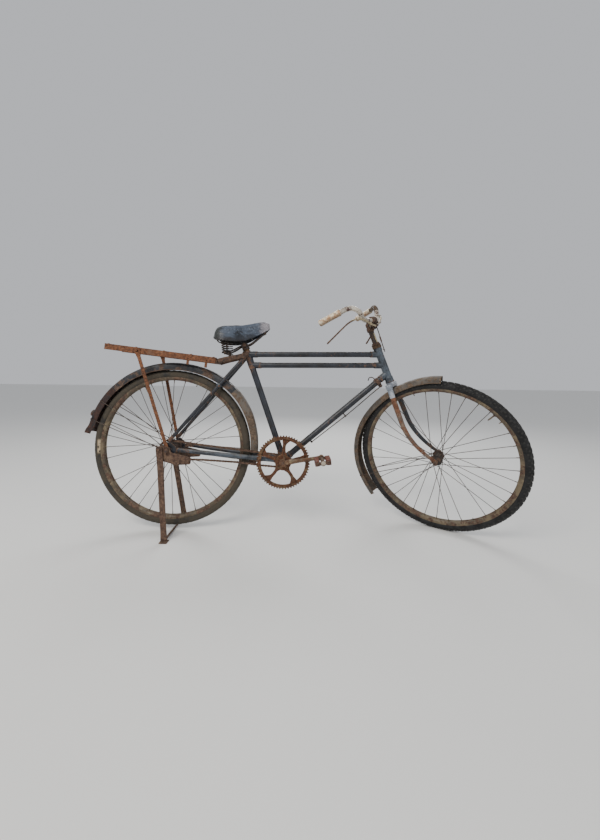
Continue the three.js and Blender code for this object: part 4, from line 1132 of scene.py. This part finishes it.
def saddle_ring(x, half, top, skirt, inset):
    """One arch of the cover, with its sag, creases and lumps, and tucked in at the skirt."""
    ring = []
    for t in shares(ARCH):
        share = sin((2 * t - 1) * pi / 2)
        z = top - (top - skirt) * (0.18 * share ** 2 + 0.82 * abs(share) ** 7)
        y = share * half
        sag = 2.2 * exp(-(share / 0.3) ** 2) * smooth(x, 205, 240) * smooth(x, 420, 380)
        crease = 1.6 * noise.noise(vec(x * 0.035, y * 0.05, 2))
        lump = 3.4 * max(0, noise.noise(vec(x * 0.022, y * 0.03, 7.3))) * smooth(abs(share), 0.75, 0.4)
        tuck = 3.0 * smooth(abs(share), 0.9, 1.0) * share
        inner = 1 - inset / max(half, inset * 2)
        ring.append(vec(x, y * inner - tuck, z - sag + crease * 0.5 + lump - inset * 0.6))
    return ring


def saddle_profile(count):
    """The table's rows, with smooth steps between them."""
    out = []
    for share in shares(count):
        place = share * (len(SADDLE_ROWS) - 1)
        k = min(int(place), len(SADDLE_ROWS) - 2)
        t = place - k
        near = [SADDLE_ROWS[max(0, min(len(SADDLE_ROWS) - 1, k + d))] for d in (-1, 0, 1, 2)]
        out.append([
            b + 0.5 * ((c - a) * t + (2 * a - 5 * b + 4 * c - d) * t * t + (3 * b - a - 3 * c + d) * t ** 3)
            for a, b, c, d in zip(*near)
        ])
    return out


shape = Shape()
rings = [saddle_ring(*row, 0) + saddle_ring(*row, 4.5)[::-1] for row in saddle_profile(64)]
shape.rings(rings)
# the rolled hem along both flanks
for k in (0, ARCH):
    shape.tube([ring[k] + vec(0, copysign(0.4, ring[k].y), 0.6) for ring in rings], 2.6, 10)
saddle = piece("saddle_cover", shape, "frame", [SADDLE], 60)

SPRING_X, SPRING_FOOT, SPRING_HEAD = 242, 797, 851
shape = Shape()
for s in (-1, 1):
    foot, head = vec(SPRING_X, s * 48, SPRING_FOOT), vec(SPRING_X - 4, s * 50, SPRING_HEAD)
    shape.tube(coil(foot + Z * 3, head, (13.5, 15.5), 5.5), 2.3, 8)
    shape.lathe(foot, Z, [(0, 0), (15, 0), (16.5, 1), (16.5, 3), (15, 3.6), (0, 3.6)], 28)
    shape.lathe(head, Z, [(0, 0), (16, 0), (17, 1.5), (17, 3.4), (0, 3.4)], 28)
    shape.rod(foot - Z, foot + Z * 10, 4, 10)
    shape.nut(foot, -Z, 12, 5)
    for offset in (0, 9):
        near = 0.4 * offset
        rail = [
            (SPRING_X, 36 - offset, SPRING_FOOT + 4), (275, 29 - offset, 815), (308, 20 - near, 834),
            (340, 18 - near, 839), (372, 13 - near, 862), (404, 9 - 0.3 * offset, 889),
        ]
        shape.tube(spline([(x, s * y, z) for x, y, z in rail], 30), 3.1, 10)
shape.rod((SPRING_X, -64, SPRING_FOOT + 2), (SPRING_X, 64, SPRING_FOOT + 2), 4.2, 14, bevel=1)
shape.tube([(233, y, SPRING_FOOT + 6 + 3 * cos(y * 0.04)) for y in range(-40, 41, 5)], 3, 8)
bow = [(210, -70, 858), (205, -40, 853), (203, 0, 851), (205, 40, 853), (210, 70, 858)]
shape.tube(spline(bow, 24), 3.2, 8)
clamp_at = POST_TOP + vec(1, 0, 1)
shape.lathe(clamp_at, Y, mirrored([(3, 0), (11, 0), (12, 2), (12, 18), (9, 20)], -30, 30), 30)
post_cap = [(13.1, 0), (16.5, 0), (17, 1), (17, 20), (16, 22), (0, 22)]
shape.lathe(towards(POST_TOP, SEAT_TOP, 20), SEAT_TOP - BRACKET, post_cap, 28)
shape.rod(clamp_at - Y * 36, clamp_at + Y * 36, 4, 12)
for s in (-1, 1):
    shape.nut(clamp_at + Y * (s * 30), Y * s, 14, 6, 0.6)
shape.block((408, 0, 893), (16, 22, 12), ((0.85, 0, 0.5), Y, (-0.5, 0, 0.85)), 2)
shape.rod((404, 0, 889), (422, 0, 905), 4, 10)
for d in (0, 34):
    half, high = 26 - d * 0.2, 850 + d * 0.55
    shape.tube([(318 + d, -half, high), (318 + d, 0, 846 + d * 0.6), (318 + d, half, high)], 2.6, 8)
piece("saddle_frame", shape, "frame", [DARK_RUST])


# Sprocket and chain

SPROCKET_Y, PITCH = -45, 12.7


def toothed_ring(shape, y, teeth, radius, depth, tip, inner):
    """A ring of teeth. tip is half their thickness. inner has the radii and half thicknesses further in."""
    rings = []
    for angle in turns(teeth * 6):
        wave = cos(angle * teeth)
        rim_radius = radius - depth + depth * max(-1, min(1, wave * 1.4))
        section = ((rim_radius, 1.4 if wave < 0 else tip), *inner)
        ring = [polar(angle, r, y + t) for r, t in section]
        rings.append(ring + [polar(angle, r, y - t) for r, t in reversed(section)])
    shape.rings(rings, closed=True)


shape = Shape(REAR_WHEEL)
toothed_ring(shape, SPROCKET_Y, 19, 36.4, 2.4, 0.9, [(22, 1.8)])
freewheel = [(9.8, -8), (18, -8), (18, -6), (22.5, -6), (24, -4.5), (24, 9), (22, 11.5), (9.8, 11.5)]
shape.lathe((0, SPROCKET_Y, 0), Y, freewheel, 40)
piece("sprocket", shape, "frame", [DARK_RUST])


def arc(x, z, y, radius, start, stop, steps):
    """Points on a circle about a plan point, between two angles in degrees."""
    return [
        vec(x, 0, z) + polar(radians(start + (stop - start) * t), radius, y) for t in shares(steps)
    ]


route = [
    *arc(0, REAR_AXLE_Z, SPROCKET_Y, 41.5, 277, 82, 14),
    vec(120, -41, 393), vec(250, -37, 377), vec(373, -34, 361.5),
    *arc(BRACKET.x, BRACKET.z, -30, 26.9, 80, -97, 12),
    vec(410, -33, 299), vec(300, -37, 314), vec(150, -41, 324),
]
total = sum((b - a).length for a, b in zip(route, route[1:] + route[:1]))
LINKS = int(total / PITCH / 2) * 2
pins = evenly(route + [route[0]], LINKS)[:-1]
# a link's side plate: share of the pitch, then length along and height beside it
LINK_OUTLINE = []
for end, start in ((0, 90), (1, -90)):
    half_turn = [radians(start + 180 * t) for t in shares(6)]
    LINK_OUTLINE += [(end, 4.1 * cos(a), 4.1 * sin(a)) for a in half_turn]
    LINK_OUTLINE.append((0.5, 0, 6.2 * end - 3.1))
shape = Shape()
for i, a in enumerate(pins):
    b = pins[(i + 1) % LINKS]
    along = (b - a).normalized()
    side, up = square_to(along)
    offset = 3.3 if i % 2 else 2.1
    for s in (-1, 1):
        plate = [
            [a.lerp(b, share) + along * dx + up * dz + side * (s * level) for share, dx, dz in LINK_OUTLINE]
            for level in (offset, offset + 1.0)
        ]
        shape.rings(plate, wear=[0.4, 0.6])
    for half, radius, sides in ((4.3, 1.7, 8), (2.0, 3.4, 10)):
        shape.rod(a - side * half, a + side * half, radius, sides)
piece("chain", shape, "frame", [RUST_BROWN])


# Crankset

CHAINWHEEL_Y = -49.5
shape = Shape(CRANKS)
toothed_ring(shape, CHAINWHEEL_Y, 58, 119.5, 3.2, 0.8, [(108, 1.5), (98.5, 1.5), (98, 1.0)])
for middle in turns(5):
    rings = []
    for share in shares(12):
        spread = 7.0 + 11 * smooth(share, 0.6, 1.0) ** 1.4 + 8 * smooth(share, 0.3, 0.0)
        angle = middle + 0.10 * sin(share * pi)
        centre, across = polar(angle, 28 + 73 * share, CHAINWHEEL_Y), polar(angle).cross(Y)
        rings.append([centre + across * p + Y * q for p, q in flat_bar(spread, 1.5, spread * 0.86, 0.9)])
    shape.rings(rings, wear=0.6)
shape.lathe((0, CHAINWHEEL_Y, 0), Y, [(8.4, -1.6), (34, -1.6), (36, 0), (34, 1.6), (8.4, 1.6)], 48)
piece("chainwheel", shape, "crankset", [WHEEL_BROWN])

shape = Shape(CRANKS)
shape.rod((0, -69, 0), (0, 69, 0), 8, 24, bevel=1.2)
piece("crank_spindle", shape, "crankset", [DARK_RUST])

for name, s in SIDES:
    shape = Shape(CRANKS)
    reach = -s * CRANK_LENGTH
    rings = []
    for share in shares(20):
        tall = 11.5 - 3.2 * smooth(share, 0.0, 0.5) + 1.6 * smooth(share, 0.85, 1.0)
        thick = 6.4 - 1.0 * share
        ring = []
        for angle in turns(16):
            c, v = cos(angle + TURN / 32), sin(angle + TURN / 32)
            y = s * (62 + 4 * share) + thick * copysign(abs(c) ** 0.6, c)
            ring.append(vec(reach * share, y, tall * copysign(abs(v) ** 0.6, v)))
        rings.append(ring)
    shape.rings(rings, wear=0.5)
    shape.collar(ORIGIN, Y, 8.1, 17, *sorted((s * 52.5, s * 68)), (1.5, 1.5), 36)
    shape.collar((reach, 0, 0), Y, 0, 12, *sorted((s * 59, s * 73)))
    shape.rod((-8 * s, s * 60, -21), (-8 * s, s * 60, 17), 4.4, 14, bevel=0.8)
    shape.nut((-8 * s, s * 60, 15.5), Z, 11, 5.5, 0.6)
    piece(f"crank_{name}", shape, "crankset", [CRANK_TAN if s < 0 else RUST_BROWN])

PEDAL_NEAR, PEDAL_FAR, PEDAL_TILT = 79, 170, (-8, 12)
for (name, s), tilt in zip(SIDES, PEDAL_TILT):
    x = BRACKET.x - s * CRANK_LENGTH * cos(CRANK_ANGLE)
    z = BRACKET.z - s * CRANK_LENGTH * sin(CRANK_ANGLE)
    shape = Shape(turned_place(x, z, -radians(tilt)))
    near, far = s * PEDAL_NEAR, s * PEDAL_FAR
    for x in (-24, 24):
        shape.colour = 0
        size = (17, PEDAL_FAR - PEDAL_NEAR - 12, 22)
        shape.block((x, (near + far) / 2, 0), size, bevel=2.2, segments=2, wear=0.5)
        for k in range(7):
            shape.block((x, near + s * (14 + k * 10.4), 0), (19.4, 5.2, 24.2), bevel=1.4, wear=0.8)
        shape.colour = 1
        shape.rod((x, near + s * 0.5, 0), (x, far - s * 0.5, 0), 3, 10)
        shape.nut((x, far - s * 3, 0), Y * s, 8, 4)
    for y in (near + s * 3, far - s * 4):
        shape.block((0, y, 0), (60, 2.4, 15), bevel=0.9)
        shape.lathe((0, y, 0), Y, [(5, -2.2), (11, -2.2), (11.4, 0), (11, 2.2), (5, 2.2)], 28)
    shape.rod((0, near, 0), (0, far - s * 2, 0), 7.6, 22)
    shape.rod((0, s * 73.2, 0), (0, near + s, 0), 5, 14)
    shape.nut((0, s * 73.6, 0), Y * s, 13, 4)
    shape.colour = 2
    shape.lathe((0, far - s * 5, 0), Y * s, [(0, 0), (9.6, 0), (9.8, 1), (9.2, 4), (7, 5), (0, 5)], 26)
    piece(f"pedal_{name}", shape, f"pedal_{name}", [BLOCK_RUBBER, RUST_BROWN, WORN_PLATE])


# Stand and its brackets

STAND_PIVOT, STAND_FOOT_X, STAND_FOOT_Y = vec(-32, 0, 378), 12, 123
BRACKET_OUTLINE = [
    (-45, 0), (-42, 18), (-20, 21), (10, 16), (18, -8), (104, -28), (102, -58), (40, -62), (-30, -42),
]
for name, s in SIDES:
    shape = Shape(REAR_WHEEL)
    shape.slab(rounded(BRACKET_OUTLINE, 7), *sorted((s * 69.6, s * 73.6)), 0.9)
    for x, z in ((94, -42), (52, -50), (-22, -26)):
        shape.nut((x, s * 73.4, z), Y * s, 11, 5, 0.62)
        shape.rod((x, s * 66, z), (x, s * 69.8, z), 5, 12)
    piece(f"stand_bracket_{name}", shape, "frame", [RUST_BROWN])

shape = Shape()
for _, s in SIDES:
    top, foot = STAND_PIVOT + Y * (s * 78), vec(STAND_FOOT_X, s * STAND_FOOT_Y, 7)
    knee = STAND_PIVOT + vec(7, s * 80, -60)
    path = [top + vec(-1, 0, 6)] + spline([top, knee, knee.lerp(foot, 0.25), foot], 36)
    widths = [11.5] + [13.6 - 1.4 * smooth(t, 0.1, 0.6) + 1.6 * smooth(t, 0.9, 1) for t in shares(36)]
    rings = []
    for i, centre in enumerate(path):
        along = (path[min(len(path) - 1, i + 1)] - path[max(0, i - 1)]).normalized()
        thick, wide = square_to(along)
        w = widths[i] + 0.4 * noise.noise(vec(i * 0.4, s * 5, 2))
        section = [
            (-w, -2.2), (1 - w, -3), (w - 1, -3), (w, -2.2), (w, 2.4), (w - 1.4, 3.2), (w - 4.2, 2.2),
            (4.2 - w, 2.2), (1.4 - w, 3.2), (-w, 2.4),
        ]
        rings.append([centre + wide * p + thick * (q * s) for p, q in section])
    shape.rings(rings, wear=0.5)
    shape.block((STAND_FOOT_X, s * STAND_FOOT_Y, 2), (34, 30, 4), bevel=1.2, wear=0.9)
    shape.block((STAND_FOOT_X, s * (STAND_FOOT_Y - 4), 9), (22, 4, 12))
    boss = [(3, 74.4), (12, 74.4), (13, 75.6), (13, 81), (12, 82), (3, 82)]
    shape.lathe(STAND_PIVOT, Y, [(r, s * y) for r, y in boss], 32, [0.4, 1, 1, 1, 1, 0.4])
    shape.rod(STAND_PIVOT + Y * (s * 66.5), STAND_PIVOT + Y * (s * 85), 4.2, 14, bevel=0.6)
    shape.nut(STAND_PIVOT + Y * (s * 82), Y * s, 13, 5.5, 0.62)
    shape.nut(STAND_PIVOT + Y * (s * 68.8), Y * -s, 11, 3.4)
shape.rod((STAND_FOOT_X, -STAND_FOOT_Y, 6.2), (STAND_FOOT_X, STAND_FOOT_Y, 6.2), 4.5, 16, bevel=0.6)
piece("stand", shape, "stand", [RUST_BROWN])


# Band, hook and brake rod below the down tube

down = (BRACKET - DOWN_TOP).normalized()
below = down.cross(Y).normalized()


def by_down_tube(length, drop=0.0, y=0.0):
    """A place by its length from the lug and its drop below the tube's axis."""
    return DOWN_TOP + down * (LUG_LENGTH + length) + below * drop + vec(0, y, 0)


shape = Shape()
shape.collar(by_down_tube(8), down, 14.2, 17, 0, 18, (0.4, 1), 36, (0.6, 1))
for s in (-1, 1):
    shape.block(by_down_tube(17, 22, s * 2.6), (16, 2.4, 14), (down, Y, below), 0.6)
    shape.nut(by_down_tube(17, 25, s * 4), Y * s, 8, 4, 0.6)
shape.rod(by_down_tube(17, 25, -9), by_down_tube(17, 25, 9), 2.8, 10)
shape.rod(by_down_tube(17, 24), by_down_tube(17, 32), 4.3, 12)
hook = [by_down_tube(*place) for place in ((18, -15), (22, -30), (34, -37), (46, -30))]
shape.tube(spline(hook, 20), 2.3, 10)
piece("down_tube_band", shape, "frame", [DARK_RUST])

shape = Shape()
BRAKE_ROD = ((22, 27), (230, 28), (425, 20))  # where the rod ends or bends
places = [by_down_tube(*place) for place in BRAKE_ROD]
path = line(places[0], places[1], 20)[:-1] + line(places[1], places[2], 20)
bent = [p + vec(0, 0.8 * sin(i * 0.4), 0.5 * sin(i * 0.3)) for i, p in enumerate(path)]
shape.tube(bent, 2.3, 10)
for length, drop in BRAKE_ROD[1:]:
    shape.rod(by_down_tube(length, TUBE - 0.5), by_down_tube(length, drop + 1), 2.6, 10)
    shape.lathe(by_down_tube(length - 4, drop), down, [(2.2, 0), (4.6, 0), (4.6, 8), (2.2, 8)], 16)
piece("rear_brake_rod", shape, "frame", [DARK_RUST])


# Fork

CROWN_U, CROWN_SPREAD = 310.5, 38
shape = Shape(FORK)
shape.rod((0, 0, CROWN_U), (0, 0, HEAD_TUBE_U[1] + 2), 12.5, 24)
race = [(12, -14), (17, -14), (18.4, -10), (19.6, -6), (19.6, -0.4), (12, -0.4)]
shape.lathe((0, 0, HEAD_TUBE_U[0]), Z, race, 36, [0.5, 0.8, 0.6, 1, 1, 0.6])
for rise, wide, tall in ((11, 27.2, 11), (2, 25.2, 8)):
    size = (wide, 2 * CROWN_SPREAD + 6, tall)
    shape.block((0, 0, CROWN_U + rise), size, bevel=3.2, segments=3, wear=0.4)
shoulder = [(0, -7), (13.4, -7), (14.5, -5), (14.5, 13), (12.6, 16), (6, 17.4), (0, 17.6)]
for s in (-1, 1):
    shape.lathe((0, s * CROWN_SPREAD, CROWN_U), Z, shoulder, 30, [0.4, 1, 1, 0.3, 0.3, 0.2, 0.2])
piece("fork_crown", shape, "fork", [PALE_ENAMEL])

AXLE_IN_FORK = vec(FORK_RAKE, 0, FRONT_AXLE_U)
for name, s in SIDES:
    shape = Shape(FORK)
    tip, bend = AXLE_IN_FORK + vec(-7, s * 53, 12), vec(0, s * 49, 150)
    path = [vec(0, s * CROWN_SPREAD, CROWN_U - 4), vec(0, s * 43.5, (CROWN_U + 150) / 2)]
    path = evenly(path + [curve(bend, vec(-1, s * 53, 52), tip, t) for t in shares(16)], 44)
    shape.tube(
        path, [12.6 - 5.2 * t ** 1.5 for t in shares(44)], 26,
        [0.85 - 0.4 * smooth(t, 0.93, 1.0) for t in shares(44)], Y, [exp(-i / 4) for i in range(45)],
        colour_at=lambda ring, _: int(s < 0 and ring < 5),
    )
    end = [(FORK_RAKE + 10 * cos(a), FRONT_AXLE_U + 10 * sin(a)) for a in turns(16)]
    shape.slab(end, *sorted((s * 50.5, s * 54.8)), 0.6)
    a, b = AXLE_IN_FORK + vec(-9, s * 52.6, 15), AXLE_IN_FORK + vec(0, s * 52.6, 0)
    side, across = square_to((b - a).normalized())
    shape.block((a + b) / 2, ((b - a).length, 4.2, 17), (b - a, side, across), 0.8)
    materials = [BLADE_RUST if s < 0 else GUARD_DARK, PALE_ENAMEL]
    piece(f"fork_blade_{name}", shape, "fork", materials)


def front_radius(degrees):
    return 364 + 34 * smooth(degrees, 108, 178) + 8 * smooth(-degrees, -100, -66)


shape = mudguard(FRONT_WHEEL, 68, 199, 96, 24, front_radius, lambda d: GUARD_HALF, lambda d: 0, 6.0)
piece("front_mudguard", shape, "fork", [GUARD_BROWN])
for name, s in SIDES:
    shape = Shape(FRONT_WHEEL)
    eye(shape, 0, s * 57.6, 2.2, 8.5, 4.7)
    guard_stay(shape, vec(-7, s * 57.6, 0), 183, front_radius(183) - 10, 5, s)
    piece(f"front_mudguard_stay_{name}", shape, "fork", [DARK_RUST])


# Handlebar, stem and levers

BAR = [
    (24, 0, 626), (24, 40, 627), (21, 74, 631), (19.5, 97, 646), (22, 105, 658),
    (22, 114, 673.5), (10, 142, 693), (-7.5, 167, 696.3), (-28.7, 187, 692.9), (-124.2, 210, 684),
]
bar_path = spline([(x, -y, z) for x, y, z in reversed(BAR)] + BAR[1:], 200)
GRIP = 30
shape = Shape(FORK)
path = bar_path[GRIP - 6:200 - GRIP + 7]
shape.tube(path, 11, 24, colour_at=lambda ring, _: int(ring > (len(path) - 1) * 0.755))
piece("handlebar", shape, "fork", [BAR_PLATE, DARK_BRONZE])

radii = []
for i, t in enumerate(shares(GRIP)):
    groove = 0.22 * (0.5 + 0.5 * cos(i * TURN / 3)) * smooth(t, 0.06, 0.2) * smooth(t, 0.95, 0.8)
    end = smooth(t, 0.93, 0.99) + 0.4 * smooth(t, 0.05, 0.0)
    radii.append(14.2 - 0.64 * sin(t * pi) ** 2 + groove + end)
radii[0], radii[-1] = 12.2, 13.2
for name, path in (("right", bar_path[:GRIP + 1]), ("left", bar_path[200 - GRIP:][::-1])):
    shape = Shape(FORK)
    shape.tube(path, radii, 28, wear=[0.35] * GRIP + [1])
    piece(f"grip_{name}", shape, "fork", [IVORY], 50)

top = HEAD_TUBE_U[1]
shape = Shape(FORK)
lower = [(13, 0), (19.4, 0), (20, 1), (20, 4.4), (19, 5.6), (13, 5.6)]
upper = [(13, 0), (22, 0), (22.4, 0.8), (22, 2.6), (13, 2.6)]
shape.lathe((0, 0, top + 0.3), Z, lower, 40, [0.4, 1, 1, 1, 1, 0.4])
shape.colour = 1
shape.lathe((0, 0, top + 5.4), Z, upper, 40, [0.4, 1, 1, 1, 0.4])
shape.tube([(0, 0, top + u) for u in (8, 14.4, 15.4)], [17, 17, 15.8], 8, wear=[1, 0.6, 1])
piece("headset_locknut", shape, "fork", [DARK_BRONZE, DARK_RUST])

shape = Shape(FORK)
shape.tube(line(vec(0, 0, top + 2.3), vec(0, 0, 615.3), 20), 12.4, 32)
cap = [(0, 600), (13.4, 600), (14.2, 604), (14.2, 616), (12, 620), (0, 621)]
shape.lathe(ORIGIN, Z, cap, 32, [0.4, 1, 0.6, 0.6, 1, 0.5])
shape.nut((0, 0, 620), Z, 13, 7, 0.62)
shape.tube([(0, 0, 606), (12, 0, 614), (24, 0, 626)], [13.4, 13.6, 14], 26)
shape.collar((24, 0, 626), Y, 11.2, 17, -24, 24, (1, 1.4), 36, (0.5, 1))
shape.rod((28, 0, 612), (56, 0, 605), 5.4, 14, bevel=0.8)
shape.colour = 1
shape.nut((50, 0, 606.4), (0.97, 0, -0.24), 13, 7, 0.6)
for place in ((13, -14, 604), (17, -12, 612)):
    shape.nut(place, (0.57, -0.82, 0), 9, 5, 0.6)
# a thin light strip down the quill's front, towards its right side, with uneven edges: a painted highlight
shape.colour = 2
rings = []
for i in range(15):
    u = top + 14 + 46 * i / 14
    start = radians(-34 + 12 * noise.noise(vec(i * 0.5, 2, 0)))
    stop = radians(6 + 14 * noise.noise(vec(i * 0.6, 7, 0)))
    edge = [(cos(a), sin(a)) for a in (start + (stop - start) * t for t in shares(6))]
    ring = [vec(12.85 * c, 12.85 * s, u) for c, s in edge]
    rings.append(ring + [vec(12.2 * c, 12.2 * s, u) for c, s in reversed(edge)])
shape.rings(rings)
piece("stem", shape, "fork", [DARK_RUST, BAR_PLATE, STEM_HIGHLIGHT])

LEVER = [
    (34, 15.6, 597), (32, 58, 609), (33, 86, 620), (31.5, 110, 630), (21.5, 138, 640.6),
    (8, 166, 642.7), (-10.2, 190, 637.2), (-39.2, 208, 623.5), (-73.5, 218, 608.5), (-116.2, 226, 591),
]
LEVER_DROOP = (0, 48)  # at the tip: the left lever is bent down
for (name, s), droop in zip(SIDES, LEVER_DROOP):
    shape = Shape(FORK)
    fall = [droop * smooth(-x, 0, 118) for x, _, _ in LEVER]
    path = spline([(x - 0.25 * d, s * y, z - d) for (x, y, z), d in zip(LEVER, fall)], 60)
    radii = [4.0 - 1.2 * smooth(t, 0.55, 0.7) + 0.5 * smooth(t, 0.94, 1.0) for t in shares(60)]
    radii[-1] = 2.6
    shape.tube(
        path, radii, 14, [1.0 + 0.5 * smooth(t, 0.6, 0.75) for t in shares(60)],
        wear=[smooth(t, 0.4, 0.6) for t in shares(60)],
        colour_at=lambda ring, point: int(ring > 35 + 2 * sin(point)),
    )
    for i in (9, 24):
        shape.collar(path[i], path[i + 1] - path[i], 3.6, 6.6, -5, 5, (0.6, 1), 20, (0, 0))
    piece(f"brake_lever_{name}", shape, "fork", [LEVER_PALE, LEVER_BROWN])

shape = Shape(FORK)
shape.rod((34, -14.4, 597), (34, 14.4, 597), 6, 18, bevel=0.8)
shape.tube([(12, 0, 590), (34, 0, 597)], 6, 16)
shape.collar(ORIGIN, Z, 12.7, 16.5, 580, 598, (0.9, 1), 36, (0.5, 1))
shape.tube([(33, 0, 596), (32, 0.5, 560), (29, 0, 510), (27, 0, 471)], 2.2, 12)
shape.rod((30.6, 0, 545), (29.6, 0, 521), 3.6, 14, bevel=0.6)
shape.nut((27.4, 0, 480), Z, 7, 5)
for s in (-1, 1):
    shape.nut((34, s * 13, 597), Y * s, 10, 3)
yoke = [
    (0, 583), (17, 586), (30, 600), (58, 612), (60, 624), (40, 618), (0, 612), (-40, 618), (-60, 624),
    (-58, 612), (-30, 600), (-17, 586),
]
shape.slab(rounded(yoke, 4), 22, 25.6, 0.6, to_point=lambda a, b, h: (h, a, b))
shape.colour = 1
shape.rod((0, -17, 589), (0, 17, 589), 3.4, 12)
shape.nut((0, -16.4, 589), -Y, 9, 4)
piece("lever_bracket", shape, "fork", [DARK_RUST, WORN_PLATE])


# Floor, light and camera

FLOOR = 30.0
floor_mesh = bpy.data.meshes.new("floor")
corners = [(x * FLOOR, y * FLOOR, 0) for x, y in ((-1, -1), (1, -1), (1, 1), (-1, 1))]
floor_mesh.from_pydata(corners, [], [(0, 1, 2, 3)])
floor = bpy.data.objects.new("floor", floor_mesh)
bpy.context.scene.collection.objects.link(floor)
floor_graph = Graph("pale_floor")
floor_graph.shader.inputs["Base Color"].default_value = (0.74, 0.74, 0.72, 1)
floor_graph.shader.inputs["Roughness"].default_value = 0.9
floor_mesh.materials.append(floor_graph.material)

world = bpy.data.worlds.new("studio")
world.use_nodes = True
background = world.node_tree.nodes["Background"]
background.inputs["Color"].default_value = (0.93, 0.95, 1.0, 1)
background.inputs["Strength"].default_value = 0.62
bpy.context.scene.world = world


def area_light(name, place, target, size, power, colour=(1, 1, 1)):
    data = bpy.data.lights.new(name, "AREA")
    data.shape = "RECTANGLE"
    data.size, data.size_y = size
    data.energy = power
    data.color = colour
    light = bpy.data.objects.new(name, data)
    light.location = place
    light.rotation_euler = (Vector(target) - Vector(place)).to_track_quat("-Z", "Y").to_euler()
    bpy.context.scene.collection.objects.link(light)


area_light("key", (-1.6, -2.6, 3.2), (0, 0, 0.45), (2.0, 1.4), 120, (1.0, 0.96, 0.9))
area_light("fill", (2.6, -2.8, 1.6), (0, 0, 0.5), (2.0, 2.0), 24, (0.94, 0.97, 1.0))
area_light("back", (0.4, 2.8, 2.6), (0, 0, 0.6), (2.6, 1.2), 60)

IMAGE_HEIGHT, FOCAL_PIXELS, SENSOR = 840, 318.0, 36
SHIFT_PIXELS = (-0.5, -39.5)
camera_data = bpy.data.cameras.new("camera")
camera_data.sensor_width = SENSOR
camera_data.lens = FOCAL_PIXELS / IMAGE_HEIGHT * SENSOR
camera_data.shift_x, camera_data.shift_y = (pixels / IMAGE_HEIGHT for pixels in SHIFT_PIXELS)
camera_data.clip_start = 0.05
camera = bpy.data.objects.new("camera", camera_data)
turn = Matrix.Rotation(radians(-1.0), 3, "Z") @ Matrix.Rotation(radians(-0.7), 3, "Y")
axes = Matrix((turn @ X, turn @ Z, turn @ -Y)).transposed()
camera.matrix_world = Matrix.Translation(PLAN.at(550, -1457.5, 681)) @ axes.to_4x4()
bpy.context.scene.collection.objects.link(camera)
bpy.context.scene.camera = camera
